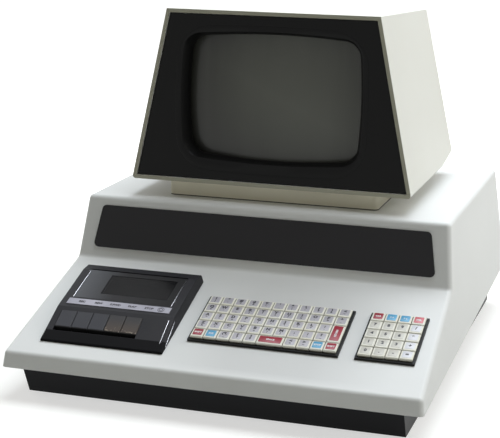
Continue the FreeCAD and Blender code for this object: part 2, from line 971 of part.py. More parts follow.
def make_fuse_holder():
    place = (s.fuse_x, pan_back, s.fitting_z)
    flange = cylinder(place, s.fuse_flange_radius, s.fuse_flange, "y")
    cap = cylinder((s.fuse_x, pan_back + s.fuse_flange, s.fitting_z), s.fuse_cap_radius, s.fuse_cap, "y")
    barrel = cylinder((s.fuse_x, pan_back - s.fuse_depth, s.fitting_z), s.fuse_radius, s.fuse_depth, "y")
    return keep("fuse_holder", fuse(flange, cap, barrel))


def make_mains_gland():
    flange = cylinder((s.gland_x, pan_back, s.fitting_z), s.gland_radius, s.gland_flange, "y")
    neck = cylinder((s.gland_x, pan_back - s.gland_depth, s.fitting_z), s.gland_neck_radius, s.gland_depth, "y")
    bore = cylinder(
        (s.gland_x, pan_back - s.gland_depth * 2, s.fitting_z), s.gland_bore, s.gland_depth * 4, "y"
    )
    return keep("mains_gland", cut(fuse(flange, neck), bore))


def make_power_transformer():
    x, y = s.transformer_x, s.transformer_y
    core_low = pan_floor + s.transformer_foot
    core = centred_box(x, y - s.core_depth / 2, core_low, (s.core_width, s.core_depth, s.core_height))
    coil_depth = s.core_depth + s.coil_overhang * 2
    coil = centred_box(
        x,
        y - coil_depth / 2,
        core_low + s.coil_margin,
        (s.core_width - s.coil_margin * 2, coil_depth, s.core_height - s.coil_margin * 2),
    )
    coil = round_edges(coil, s.coil_margin / 2, lambda edge: abs(edge.tangentAt(0).x) < TINY)
    foot_width = s.core_width + s.transformer_foot_reach * 2
    foot = centred_box(x, y - s.core_depth / 2, pan_floor, (foot_width, s.core_depth, s.transformer_foot))
    return keep("power_transformer", fuse(core, coil, foot))


def make_filter_capacitor():
    x, y = s.capacitor_x, s.capacitor_y
    can = cylinder((x, y, pan_floor), s.capacitor_radius, s.capacitor_height)
    can = bevel_edges(can, s.clamp_thickness, horizontal_level(pan_floor + s.capacitor_height))
    clamp = cylinder((x, y, pan_floor), s.capacitor_radius + s.clamp_thickness, s.clamp_height)
    ear_width = (s.capacitor_radius + s.clamp_ear) * 2
    ear_size = (ear_width, s.terminal_radius * 2, s.clamp_thickness)
    ears = centred_box(x, y - s.terminal_radius, pan_floor, ear_size)
    caps = []
    for side in (-1, 1):
        place = (x + side * s.capacitor_radius / 2, y, pan_floor + s.capacitor_height)
        caps.append(cylinder(place, s.terminal_radius, s.terminal_height))
    return keep("filter_capacitor", fuse(can, clamp, ears, *caps))


def make_heat_sink():
    x, low = s.sink_x - s.sink_width / 2, s.sink_y - s.sink_length / 2
    plate = box((x, low, pan_floor), (s.sink_plate, s.sink_length, s.sink_height))
    foot = box((x, low, pan_floor), (s.sink_width, s.sink_length, s.sink_plate))
    parts = [plate, foot]
    pitch = (s.sink_height - s.fin_thickness) / SINK_FINS
    for n in range(1, SINK_FINS + 1):
        fin = (s.sink_width, s.sink_length, s.fin_thickness)
        parts.append(box((x, low, pan_floor + pitch * n), fin))
    sink = fuse(*parts)
    cans = []
    for share in (1, 3):
        place = (x - s.regulator_height, low + s.sink_length * share / 4, pan_floor + s.sink_height / 2)
        cans.append(cylinder(place, s.regulator_radius, s.regulator_height, "x"))
    return keep("heat_sink", group(sink, *cans))


# Case hinge and stay rod
hinge_y = back - s.hinge_y_inset


def make_hinge_leaves():
    """Two butt hinges: outer knuckles and pins on the tray, middle knuckles on the case."""
    base, moving = [], []
    middle = s.hinge_length - s.knuckle_length * 2 - s.gap * 2
    for side in (-1, 1):
        centre = side * s.hinge_x
        left = centre - s.hinge_length / 2
        pin = cylinder((left, hinge_y, s.hinge_z), s.hinge_pin_radius, s.hinge_length, "x")
        leaf_y = pan_back
        plate = box(
            (left, leaf_y, s.hinge_z - s.base_leaf_height),
            (s.hinge_length, s.leaf_thickness, s.base_leaf_height - s.knuckle_radius - s.gap),
        )
        pieces = [pin, plate]
        for start in (left, left + s.hinge_length - s.knuckle_length):
            pieces.append(cylinder((start, hinge_y, s.hinge_z), s.knuckle_radius, s.knuckle_length, "x"))
            pieces.append(
                box(
                    (start, leaf_y, s.hinge_z - s.knuckle_radius * 2),
                    (s.knuckle_length, s.leaf_thickness, s.knuckle_radius * 2),
                )
            )
        base.append(fuse(*pieces))
        start = left + s.knuckle_length + s.gap
        knuckle = cylinder((start, hinge_y, s.hinge_z), s.knuckle_radius, middle, "x")
        bore = cylinder((left, hinge_y, s.hinge_z), s.hinge_pin_radius + s.gap, s.hinge_length, "x")
        rise = case_back_bottom - s.hinge_z + s.case_leaf_height
        lean = s.back_lean / (case_top - case_back_bottom)
        inner_y = back - s.case_wall - s.gap / 2
        low_y = inner_y + lean * (case_back_bottom - s.hinge_z)
        high_y = inner_y - lean * s.case_leaf_height
        side_view = [
            (low_y - s.leaf_thickness, s.hinge_z),
            (low_y, s.hinge_z),
            (high_y, s.hinge_z + rise),
            (high_y - s.leaf_thickness, s.hinge_z + rise),
        ]
        leaf = across(side_view, middle, start + middle / 2)
        moving.append(cut(fuse(knuckle, leaf), bore))
    keep("base_hinge_leaves", group(*base))
    keep("case_hinge_leaves", group(*moving))


def make_prop_rod():
    place = (s.rod_x, s.rod_y, s.rod_z)
    bar = cylinder(place, s.rod_radius, s.rod_length, "y")
    eye = cylinder((s.rod_x - rod_eye_half, s.rod_y, s.rod_z), s.rod_eye_radius, rod_eye_half * 2, "x")
    pin_length = rod_eye_half + s.gap * 2 + s.lug_thickness
    pin = cylinder((s.rod_x - pin_length, s.rod_y, s.rod_z), s.rod_pin_radius, pin_length, "x")
    tip_y = s.rod_y + s.rod_length - s.rod_radius
    tip = cylinder((s.rod_x - s.rod_tip, tip_y, s.rod_z), s.rod_radius - s.rod_eye_side, s.rod_tip, "x")
    return keep("prop_rod", fuse(bar, eye, pin, tip))


# Keypads
def make_keycap(left, low, columns, rows):
    """One keycap on the deck: a bevelled tile over a narrower skirt and a square stem."""
    width, length = s.key_pitch * columns, s.key_pitch * rows
    tile_inset = (s.key_pitch - s.key_top) / 2
    skirt_inset = (s.key_pitch - s.key_skirt) / 2
    tile = box(
        (left + tile_inset, low + tile_inset, s.key_rise - s.key_tile),
        (width - tile_inset * 2, length - tile_inset * 2, s.key_tile),
    )
    top = bevel_edges(tile, s.key_chamfer, horizontal_level(s.key_rise))
    skirt_low = -s.key_depth
    skirt = box(
        (left + skirt_inset, low + skirt_inset, skirt_low),
        (width - skirt_inset * 2, length - skirt_inset * 2, s.key_depth + s.key_rise - s.key_tile),
    )
    stem = box(
        (left + width / 2 - s.key_stem / 2, low + length / 2 - s.key_stem / 2, skirt_low - s.key_stem_reach),
        (s.key_stem, s.key_stem, s.key_stem_reach + s.gap),
    )
    return fuse(top, skirt, stem)


def cell_place(left, column, row):
    first = s.keypad_front + s.keypad_border
    return left + s.keypad_border + s.key_pitch * column, first + s.key_pitch * row


def make_keys(label, left, cells):
    caps = []
    for column, row, columns, rows in cells:
        x, low = cell_place(left, column, row)
        caps.append(make_keycap(x, low, columns, rows))
    body = caps[0] if len(caps) == 1 else group(*caps)
    return keep(label, put(body, (0, 0 * s.gap, 0 * s.gap), deck))


def plain_cells(columns, row, taken):
    return [(column, row, 1, 1) for column in range(columns) if (column, row) not in taken]


def make_keypad_frame(label, left, columns, cells):
    """A black frame: a rim round a lower web with one hole for each key."""
    width = s.key_pitch * columns + s.keypad_border * 2
    plate = box((left, s.keypad_front, 0), (width, keypad_length, s.keypad_rim))
    seat = s.keypad_seat + s.gap
    lower = box(
        (left + seat, s.keypad_front + seat, -s.keyboard_board_depth),
        (width - seat * 2, keypad_length - seat * 2, s.keyboard_board_depth + s.gap),
    )
    border = s.keypad_border
    hollow = box(
        (left + border, s.keypad_front + border, s.keypad_web_top),
        (width - border * 2, keypad_length - border * 2, s.keypad_rim),
    )
    holes = []
    inset = s.key_web / 2
    for column, row, wide, deep in cells:
        x, low = cell_place(left, column, row)
        holes.append(
            box(
                (x + inset, low + inset, -s.keyboard_board_depth * 2),
                (s.key_pitch * wide - inset * 2, s.key_pitch * deep - inset * 2, s.keyboard_board_depth * 3),
            )
        )
    block = cut(fuse(plate, lower), hollow)
    return keep(label, put(cut(block, *holes), (0, 0 * s.gap, 0 * s.gap), deck))


def make_keypads():
    taken = set()
    special_cells = list(SPECIAL_KEYS.values())
    for column, row, wide, deep in special_cells:
        taken |= {(column + a, row + b) for a in range(wide) for b in range(deep)}
    all_cells = list(special_cells)
    for row in range(KEYBOARD_ROWS):
        cells = plain_cells(KEYBOARD_COLUMNS, row, taken)
        all_cells += cells
        make_keys(f"keycaps_row_{KEYBOARD_ROWS - row}", s.keyboard_left, cells)
    for label, cell in SPECIAL_KEYS.items():
        make_keys(label, s.keyboard_left, [cell])
    pad_cells = []
    for row in range(NUMPAD_ROWS):
        cells = plain_cells(NUMPAD_COLUMNS, row, set())
        pad_cells += cells
        make_keys(f"numpad_row_{NUMPAD_ROWS - row}", s.numpad_left, cells)
    make_keypad_frame("keyboard_frame", s.keyboard_left, KEYBOARD_COLUMNS, all_cells)
    make_keypad_frame("numpad_frame", s.numpad_left, NUMPAD_COLUMNS, pad_cells)
    margin = s.keyboard_board_margin
    right = s.numpad_left + numpad_width
    board = box(
        (s.keyboard_left - margin, s.keypad_front - margin, -s.keyboard_board_depth - s.keyboard_board_thickness),
        (right - s.keyboard_left + margin * 2, keypad_length + margin * 2, s.keyboard_board_thickness),
    )
    keep("keyboard_board", put(group(board), (0, 0 * s.gap, 0 * s.gap), deck))


# Cassette unit, all in the deck's own plane: x across, along the deck, and up from it
unit_back = s.unit_front + s.unit_length
unit_low = -s.unit_box_depth
slope_end = s.unit_front + s.unit_slope_length
lid_left = s.unit_x - s.lid_width / 2
lid_back = s.lid_front + s.lid_length
lid_axis_s = lid_back - s.lid_thickness
lid_axis_n = s.unit_rise - s.lid_thickness
piano_span = s.piano_pitch * len(PIANO_NAMES)


def unit_side_view(inset, drop):
    """The cassette unit's raised profile, drawn in by an inset."""
    return [
        (s.unit_front + inset, -drop),
        (s.unit_front + inset, s.unit_front_rise - inset),
        (slope_end + inset / 4, s.unit_rise - inset),
        (unit_back - s.unit_back_slope, s.unit_rise - inset),
        (unit_back - inset, s.unit_back_rise - inset),
        (unit_back - inset, -drop),
    ]


def make_cassette_housing():
    wall = s.unit_wall
    hood = across(unit_side_view(0 * s.gap, 0 * s.gap), s.unit_width, s.unit_x)
    half = s.unit_width / 2
    lean = s.unit_side_lean
    front_view = [
        (s.unit_x - half, 0),
        (s.unit_x + half, 0),
        (s.unit_x + half - lean, s.unit_rise + wall),
        (s.unit_x - half + lean, s.unit_rise + wall),
    ]
    wedge = prism("xz", front_view, -unit_back * 2, unit_back * 4)
    cover = common(hood, wedge)
    cover = round_edges(cover, lean / 2, lambda edge: min(v.Z for v in edge.Vertexes) > s.unit_front_rise.value / 2)
    inset = s.unit_box_inset
    skirt = box(
        (unit_left + inset, s.unit_front + inset, unit_low),
        (s.unit_width - inset * 2, s.unit_length - inset * 2, s.unit_box_depth + s.gap),
    )
    body = fuse(cover, skirt)
    deep = inset + wall
    room = across(
        [
            (s.unit_front + deep, unit_low - s.overrun),
            (s.unit_front + deep, s.unit_front_rise - wall),
            (slope_end + wall, s.unit_rise - wall),
            (unit_back - s.unit_back_slope, s.unit_rise - wall),
            (unit_back - deep, s.unit_back_rise - wall),
            (unit_back - deep, unit_low - s.overrun),
        ],
        s.unit_width - deep * 2,
        s.unit_x,
    )
    clear = s.gap
    lid_hole = box(
        (lid_left - clear, s.lid_front - clear, 0 * s.gap),
        (s.lid_width + clear * 2, s.lid_length + clear * 2, s.unit_rise * 2),
    )
    key_hole = box(
        (s.piano_left - clear, s.piano_front - s.piano_recess, unit_low / 2),
        (piano_span + clear, s.piano_back - s.piano_front + s.piano_recess + clear, s.unit_box_depth * 2),
    )
    shell = cut(cut(cut(body, room), lid_hole), key_hole)
    lugs = []
    reach = s.lid_pin_reach + s.gap
    for side in (-1, 1):
        edge = s.unit_x + side * (s.lid_width / 2 + s.gap)
        start = edge if side > 0 else edge - reach
        size = s.lid_pin_radius + s.gap + s.lug_bore_wall
        lugs.append(
            box((start, lid_axis_s - size, lid_axis_n - size), (reach, size * 2, s.lid_thickness + size - s.gap))
        )
    bore_start = s.unit_x - s.lid_width / 2 - reach - s.gap
    bore = cylinder(
        (bore_start, lid_axis_s, lid_axis_n), s.lid_pin_radius + s.gap, s.lid_width + reach * 2 + s.gap * 2, "x"
    )
    done = cut(fuse(shell, *lugs), bore)
    return keep("cassette_housing", put(done, (0, 0 * s.gap, 0 * s.gap), deck))


def make_cassette_lid():
    thick = s.lid_thickness
    low = s.unit_rise - s.lid_side_depth
    plate = box((lid_left, s.lid_front, s.unit_rise - thick), (s.lid_width, s.lid_length - thick, thick))
    back_roll = cylinder((lid_left, lid_axis_s, lid_axis_n), thick, s.lid_width, "x")
    sides = []
    side_length = s.lid_length - thick * 3
    for left in (lid_left, lid_left + s.lid_width - s.lid_side):
        sides.append(box((left, s.lid_front + thick, low), (s.lid_side, side_length, s.lid_side_depth - s.gap)))
    pins = cylinder(
        (lid_left - s.lid_pin_reach, lid_axis_s, lid_axis_n), s.lid_pin_radius, s.lid_width + s.lid_pin_reach * 2, "x"
    )
    body = fuse(plate, back_roll, pins, *sides)
    left = lid_left + s.window_left
    low_s = s.lid_front + s.window_front
    ledge = s.window_ledge
    seat = box((left, low_s, s.unit_rise - s.window_thickness), (s.window_width, s.window_length, thick))
    through = box(
        (left + ledge, low_s + ledge, s.unit_rise - thick * 2),
        (s.window_width - ledge * 2, s.window_length - ledge * 2, thick * 3),
    )
    lid = cut(cut(body, seat), through)
    keep("cassette_lid", put(lid, (0, 0 * s.gap, 0 * s.gap), deck))
    pane = box(
        (left + s.gap, low_s + s.gap, s.unit_rise - s.window_thickness),
        (s.window_width - s.gap * 2, s.window_length - s.gap * 2, s.window_thickness - s.gap),
    )
    keep("lid_window", put(group(pane), (0, 0 * s.gap, 0 * s.gap), deck))


def make_label_strip():
    left = s.unit_x - s.strip_width / 2
    strip = box((left, s.strip_front, s.unit_rise), (s.strip_width, s.strip_length, s.strip_thickness))
    return keep("label_strip", put(group(strip), (0, 0 * s.gap, 0 * s.gap), deck))


def make_piano_keys():
    """Five levers on one shaft: a sloping cap in front, an arm below the works, a hub behind."""
    rise = s.unit_rise - s.unit_front_rise
    slope = rise / s.unit_slope_length
    top_front_n = s.unit_front_rise + slope * (s.piano_front - s.unit_front) + s.piano_proud
    top_back_n = s.unit_front_rise + slope * (s.piano_back - s.unit_front) + s.piano_proud
    arm_top = -s.piano_arm_top
    arm_low = arm_top - s.piano_arm_thickness
    side_view = [
        (s.piano_front, top_front_n - s.piano_skirt),
        (s.piano_front, top_front_n),
        (s.piano_back, top_back_n),
        (s.piano_back, arm_top),
        (s.piano_hub_s, arm_top),
        (s.piano_hub_s, arm_low),
        (s.piano_back - s.piano_arm_thickness, arm_low),
    ]
    for n, name in enumerate(PIANO_NAMES):
        left = s.piano_left + s.piano_pitch * n + s.gap
        lever = across(side_view, s.piano_width, left + s.piano_width / 2)
        lever = bevel_edges(
            lever, s.key_chamfer, lambda edge: min(v.Z for v in edge.Vertexes) > top_front_n.value - s.gap.value
        )
        hub = cylinder((left, s.piano_hub_s, -s.piano_hub_depth), s.piano_hub_radius, s.piano_width, "x")
        bore = cylinder(
            (left - s.overrun, s.piano_hub_s, -s.piano_hub_depth),
            s.piano_shaft_radius + s.gap,
            s.piano_width + s.overrun * 2,
            "x",
        )
        keep(name, put(cut(fuse(lever, hub), bore), (0, 0 * s.gap, 0 * s.gap), deck))


chassis_top = -s.chassis_depth
chassis_low = chassis_top - s.chassis_thickness
room_half = s.unit_width / 2 - s.unit_box_inset - s.unit_wall - s.gap
flywheel_top = -s.piano_arm_top - s.piano_arm_thickness - s.flywheel_drop + s.flywheel_thickness


def make_cassette_chassis():
    """The deck plate with its folded sides, the head, and the shaft that the keys turn on."""
    left, width = s.unit_x - room_half, room_half * 2
    plate = box((left, s.chassis_front, chassis_low), (width, s.chassis_back - s.chassis_front - s.unit_box_inset * 2, s.chassis_thickness))
    sides = []
    for x in (left, left + width - s.chassis_thickness):
        sides.append(
            box(
                (x, s.chassis_front, chassis_low - s.chassis_side_height),
                (s.chassis_thickness, s.chassis_back - s.chassis_front - s.unit_box_inset * 2, s.chassis_side_height + s.gap),
            )
        )
    shaft = cylinder((left, s.piano_hub_s, -s.piano_hub_depth), s.piano_shaft_radius, width, "x")
    head = centred_box(s.unit_x, s.head_s, chassis_top, (s.head_width, s.head_depth, s.head_height))
    pin = cylinder((s.pinch_x, s.capstan_s, chassis_top), s.pinch_pin_radius, s.capstan_height)
    body = fuse(plate, shaft, *sides, head, pin)
    holes = [
        cylinder((s.capstan_x, s.capstan_s, chassis_low - s.overrun), s.capstan_radius + s.gap, s.overrun * 4)
    ]
    for side in (-1, 1):
        x = s.unit_x + side * s.spindle_spacing / 2
        holes.append(cylinder((x, s.spindle_s, chassis_low - s.overrun), s.spindle_radius + s.gap, s.overrun * 4))
    return keep("cassette_chassis", put(cut(body, *holes), (0, 0 * s.gap, 0 * s.gap), deck))


def make_spindles():
    for name, side in (("supply_spindle", -1), ("takeup_spindle", 1)):
        x = s.unit_x + side * s.spindle_spacing / 2
        low = chassis_low - s.spindle_hub_height - s.gap
        shaft = cylinder((x, s.spindle_s, low), s.spindle_radius, s.spindle_height + s.spindle_hub_height)
        under = cylinder((x, s.spindle_s, low), s.spindle_hub_radius, s.spindle_hub_height)
        over = cylinder((x, s.spindle_s, chassis_top + s.gap), s.spindle_hub_radius, s.spindle_hub_height)
        parts = [shaft, under, over]
        height = s.spindle_height - s.spindle_hub_height
        for n in range(SPLINES):
            fin = box(
                (-s.spline_width / 2, 0, 0), (s.spline_width, s.spindle_radius + s.spline_reach, height / 2)
            )
            fin.Placement.Rotation = Rotation(Vector(0, 0, 1), 360 * n / SPLINES)
            parts.append(put(fin, (x, s.spindle_s, chassis_top + s.spindle_hub_height)))
        keep(name, put(fuse(*parts), (0, 0 * s.gap, 0 * s.gap), deck))


def make_drive():
    """Flywheel and capstan, motor with its pulley, the flat belt round both, and the pinch roller."""
    wheel_low = flywheel_top - s.flywheel_thickness
    wheel = cylinder((s.capstan_x, s.capstan_s, wheel_low), s.flywheel_radius, s.flywheel_thickness)
    shaft_length = chassis_top + s.capstan_height - flywheel_top
    shaft = cylinder((s.capstan_x, s.capstan_s, flywheel_top - s.gap), s.capstan_radius, shaft_length)
    keep("capstan_flywheel", put(fuse(wheel, shaft), (0, 0 * s.gap, 0 * s.gap), deck))
    place = (s.motor_x, s.motor_s, wheel_low)
    pulley = cylinder(place, s.pulley_radius, s.flywheel_thickness)
    stub_low = (s.motor_x, s.motor_s, wheel_low - s.gap * 2)
    stub = cylinder(stub_low, s.capstan_radius, s.gap * 3)
    keep("motor_pulley", put(fuse(pulley, stub), (0, 0 * s.gap, 0 * s.gap), deck))
    can_top = wheel_low - s.gap * 2
    can = cylinder((s.motor_x, s.motor_s, can_top - s.motor_length), s.motor_radius, s.motor_length)
    posts = []
    for side in (-1, 1):
        x = s.motor_x + side * (s.motor_radius - s.motor_post_radius)
        y = s.motor_s + s.motor_post_radius * 2
        posts.append(hexagon((x, y, can_top - s.gap), s.motor_post_radius, chassis_low - can_top + s.gap))
    keep("cassette_motor", put(fuse(can, *posts), (0, 0 * s.gap, 0 * s.gap), deck))
    roller = cylinder((s.pinch_x, s.capstan_s, chassis_top + s.gap), s.pinch_radius, s.pinch_height)
    bore = cylinder(
        (s.pinch_x, s.capstan_s, chassis_top - s.overrun), s.pinch_pin_radius + s.gap, s.overrun * 4
    )
    keep("pinch_roller", put(cut(roller, bore), (0, 0 * s.gap, 0 * s.gap), deck))


def belt_face(radius_1, radius_2, centre_1, centre_2, height):
    """The flat area inside a belt round two wheels, on its outer tangents."""
    line = centre_2 - centre_1
    lean = math.acos((radius_1 - radius_2) / line.Length)
    base = math.atan2(line.y, line.x)

    def rim(centre, radius, angle):
        return Vector(centre.x + radius * math.cos(angle), centre.y + radius * math.sin(angle), height)

    start_1, end_1 = rim(centre_1, radius_1, base + lean), rim(centre_1, radius_1, base - lean)
    start_2, end_2 = rim(centre_2, radius_2, base + lean), rim(centre_2, radius_2, base - lean)
    far_1, far_2 = rim(centre_1, radius_1, base + math.pi), rim(centre_2, radius_2, base)
    edges = [
        Part.LineSegment(start_1, start_2).toShape(),
        Part.Arc(start_2, far_2, end_2).toShape(),
        Part.LineSegment(end_2, end_1).toShape(),
        Part.Arc(end_1, far_1, start_1).toShape(),
    ]
    return Part.Face(Part.Wire(edges))


def make_drive_belt():
    low = flywheel_top.value - s.flywheel_thickness.value / 2 - s.belt_width.value / 2
    centres = (
        Vector(s.capstan_x.value, s.capstan_s.value, 0),
        Vector(s.motor_x.value, s.motor_s.value, 0),
    )
    inner = [s.flywheel_radius.value + s.gap.value, s.pulley_radius.value + s.gap.value]
    outer = [radius + s.belt_thickness.value for radius in inner]
    rise = Vector(0, 0, s.belt_width.value)
    band = belt_face(*outer, *centres, low).extrude(rise)
    band = band.cut(belt_face(*inner, *centres, low).extrude(rise))
    return keep("drive_belt", put(solid(band), (0, 0 * s.gap, 0 * s.gap), deck))


# Monitor
def make_monitor_neck():
    low = front + s.neck_setback
    wall = s.neck_wall
    outer = centred_box(0 * s.gap, low, case_top, (s.neck_half_width * 2, s.neck_depth, s.neck_height))
    outer = round_edges(outer, s.case_corner, lambda edge: abs(edge.tangentAt(0).z) > 0.99)
    inner = centred_box(
        0 * s.gap,
        low + wall,
        case_top - wall,
        (s.neck_half_width * 2 - wall * 2, s.neck_depth - wall * 2, s.neck_height + wall * 2),
    )
    return keep("monitor_neck", cut(outer, inner))


def monitor_side_view(inset, overrun):
    """The housing's side view; the inside runs out past its open front and back."""
    low = housing_bottom + inset
    fall = s.monitor_top_drop * overrun / s.monitor_top_depth
    return [
        (monitor_front - overrun, low),
        (monitor_front + s.face_lean - overrun, s.machine_height - inset + fall),
        (rear_top + overrun, rear_top_z - inset - fall),
        (rear_bottom + overrun, low + s.kink_rise),
        (monitor_front + s.kink_depth, low),
    ]


def monitor_front_view(inset, overrun):
    low, high = housing_bottom + inset - overrun, s.machine_height - inset + overrun
    half_low, half_high = monitor_half_width(low) - inset, monitor_half_width(high) - inset
    return [(-half_low, low), (half_low, low), (half_high, high), (-half_high, high)]


def make_monitor_housing():
    width = s.monitor_bottom_width * 2
    outer = common(
        across(monitor_side_view(0 * s.gap, 0 * s.gap), width),
        prism("xz", monitor_front_view(0 * s.gap, s.overrun), -s.case_depth, s.case_depth * 2),
    )
    wall = s.monitor_wall
    inner = common(
        across(monitor_side_view(wall, s.bracket_size), width),
        prism("xz", monitor_front_view(wall, 0 * s.gap), -s.case_depth, s.case_depth * 2),
    )
    long_edges = round_edges(
        outer,
        s.monitor_corner,
        lambda edge: abs(edge.tangentAt(0).x) < TINY and abs(edge.tangentAt(0).z) < 0.2,
    )
    shell = cut(long_edges, inner)
    size, deep = s.bracket_size, s.bracket_depth
    blocks = []
    bezel_back = -s.bezel_recess - s.bezel_thickness
    for side in (-1, 1):
        for low in (wall / 2, housing_height - wall - size + wall / 2):
            half = monitor_half_width(housing_bottom + low) - wall - size + wall / 2
            x = side * half if side > 0 else side * half - size
            blocks.append(box((x, low, bezel_back - deep), (size, size, deep), face))
        for low in (wall / 2, rear_drop - size - wall / 2):
            half = monitor_half_width(rear_top_z - low) - wall - size + wall / 2
            x = side * half if side > 0 else side * half - size
            blocks.append(box((x, low, -s.rear_recess - s.rear_thickness - deep), (size, size, deep), rear))
    body = common(fuse(shell, *blocks), outer)
    opening = box(
        (-s.neck_half_width / 2, front + s.neck_setback + s.neck_depth / 4, housing_bottom - wall),
        (s.neck_half_width, s.neck_depth / 2, wall * 3),
    )
    return keep("monitor_housing", cut(body, opening))


def oval(half_width, half_height, corner, bulge, height):
    """A closed wire: a rounded rectangle whose four sides bow outwards."""
    half_turn = math.sqrt(0.5)
    u, v = half_width - corner, half_height - corner
    edges = []
    turns = ((1, 1), (-1, 1), (-1, -1), (1, -1))
    for n, (a, b) in enumerate(turns):
        c, d = turns[(n + 1) % len(turns)]
        start = Vector(a * half_width, b * v, height)
        end = Vector(a * u, b * half_height, height)
        if n % 2:
            start, end = end, start
        middle = Vector(a * (u + corner * half_turn), b * (v + corner * half_turn), height)
        edges.append(Part.Arc(start, middle, end).toShape())
        if n % 2:
            after = Vector(c * half_width, d * v, height)
            bow = Vector(a * (half_width + bulge), 0, height)
        else:
            after = Vector(c * u, d * half_height, height)
            bow = Vector(0, b * (half_height + bulge), height)
        edges.append(Part.Arc(end, bow, after).toShape())
    return Part.Wire(edges)


def ring(half_width, half_height, height, squareness):
    """Corners of a many-sided outline; a squareness of one is an ellipse, and less fills the corners."""
    points = []
    for n in range(FUNNEL_SIDES):
        turn = 2 * math.pi * (n + 0.5) / FUNNEL_SIDES
        u, v = math.cos(turn), math.sin(turn)
        x = half_width * math.copysign(abs(u) ** squareness, u)
        y = half_height * math.copysign(abs(v) ** squareness, v)
        points.append(Vector(x, y, height))
    return points


def faceted(rings):
    """A closed solid of flat facets drawn through rings that have equally many corners."""
    facets = []
    for near, far in zip(rings, rings[1:]):
        for n in range(len(near)):
            after = (n + 1) % len(near)
            for corners in ((near[n], near[after], far[after]), (near[n], far[after], far[n])):
                facets.append(Part.Face(Part.makePolygon(corners + corners[:1])))
    for end in (rings[0], rings[-1]):
        facets.append(Part.Face(Part.makePolygon(end + end[:1])))
    return Part.Solid(Part.Shell(facets))


face_length = housing_height / sine(face_tilt)
face_centre = (0 * s.gap, face_length / 2, 0 * s.gap)


def glass_ball(clearance):
    """The sphere that the tube's face is part of."""
    radius = s.glass_radius.value + clearance
    centre = Vector(0, 0, -s.glass_recess.value - s.glass_radius.value)
    return Part.makeSphere(radius, centre, Vector(0, 1, 0))


def make_monitor_bezel():
    """Black front plate and the sloping mask that leads in to the curved glass."""
    wall = s.monitor_wall + s.gap * 2
    low, high = wall, face_length - wall
    half_low = monitor_half_width(housing_bottom + low) - wall
    half_high = monitor_half_width(housing_bottom + high) - wall
    points = [(-half_low, low), (half_low, low), (half_high, high), (-half_high, high)]
    plate = prism("xy", points, -s.bezel_recess - s.bezel_thickness, s.bezel_thickness)
    top = -s.bezel_recess.value
    bottom = -s.mask_depth.value
    wall_out = s.mask_wall.value
    half_x, half_y = s.mask_half_width.value, s.mask_half_height.value
    corner = s.mask_corner.value
    bulge = s.screen_bulge.value
    block = Part.Face(oval(half_x + wall_out, half_y + wall_out, corner + wall_out, bulge, top - s.bezel_thickness.value / 2))
    block = block.extrude(Vector(0, 0, bottom - top + s.bezel_thickness.value / 2))
    steep = (half_x - s.screen_half_width.value) / (top - bottom)
    spare = s.overrun.value
    funnel = Part.makeLoft(
        [
            oval(half_x + steep * spare, half_y + steep * spare, corner, bulge, top + spare),
            oval(
                s.screen_half_width.value - steep * spare,
                s.screen_half_height.value - steep * spare,
                s.screen_corner.value,
                bulge,
                bottom - spare,
            ),
        ],
        True,
    )
    ring, hole, ball = (put(solid(form), face_centre) for form in (block, funnel, glass_ball(s.gap.value / 3)))
    body = cut(cut(fuse(plate, ring), hole), ball)
    return keep("monitor_bezel", put(body, (0, 0 * s.gap, 0 * s.gap), face))


def make_picture_tube():
    """Glass tube: a curved face, a funnel lofted down to the neck, and its base."""
    margin = s.glass_margin.value
    half_x, half_y = s.screen_half_width.value + margin, s.screen_half_height.value + margin
    corner, bulge = s.screen_corner.value + margin, s.screen_bulge.value
    deep = -s.glass_depth.value
    front_slab = Part.Face(oval(half_x, half_y, corner, bulge, deep)).extrude(Vector(0, 0, -deep))
    front_slab = front_slab.common(glass_ball(0.0))
    neck = s.tube_neck_radius.value
    middle_x, middle_y = s.funnel_middle_half_width.value, s.funnel_middle_half_height.value
    funnel = faceted(
        [
            ring(half_x, half_y, deep, SQUARENESS),
            ring(middle_x, middle_y, -s.funnel_middle.value, (SQUARENESS + 1) / 2),
            ring(neck, neck, -s.funnel_end.value, 1),
        ]
    )
    stem = Part.makeCylinder(
        neck - s.gap.value,
        s.tube_length.value - s.funnel_end.value + s.gap.value,
        Vector(0, 0, -s.tube_length.value),
    )
    base = Part.makeCylinder(
        s.tube_base_radius.value,
        s.tube_base.value + s.gap.value,
        Vector(0, 0, -s.tube_length.value - s.tube_base.value),
    )
    tube = front_slab.fuse([funnel, stem, base]).removeSplitter()
    return keep("picture_tube", put(solid(tube), face_centre, face))


def make_deflection_yoke():
    start = -s.funnel_end - s.yoke_length - s.gap * 2
    centre = face_length / 2
    back_cone = cylinder((0, centre, start), s.yoke_back_radius, s.yoke_length, "z", s.yoke_front_radius)
    collar = cylinder((0, centre, start - s.yoke_bell), s.tube_neck_radius + s.gap * 8, s.yoke_bell * 2)
    bore = cylinder((0, centre, start - s.yoke_bell * 2), s.tube_neck_radius, s.yoke_length * 2)
    body = cut(fuse(back_cone, collar), bore)
    return keep("deflection_yoke", put(body, (0, 0 * s.gap, 0 * s.gap), face))


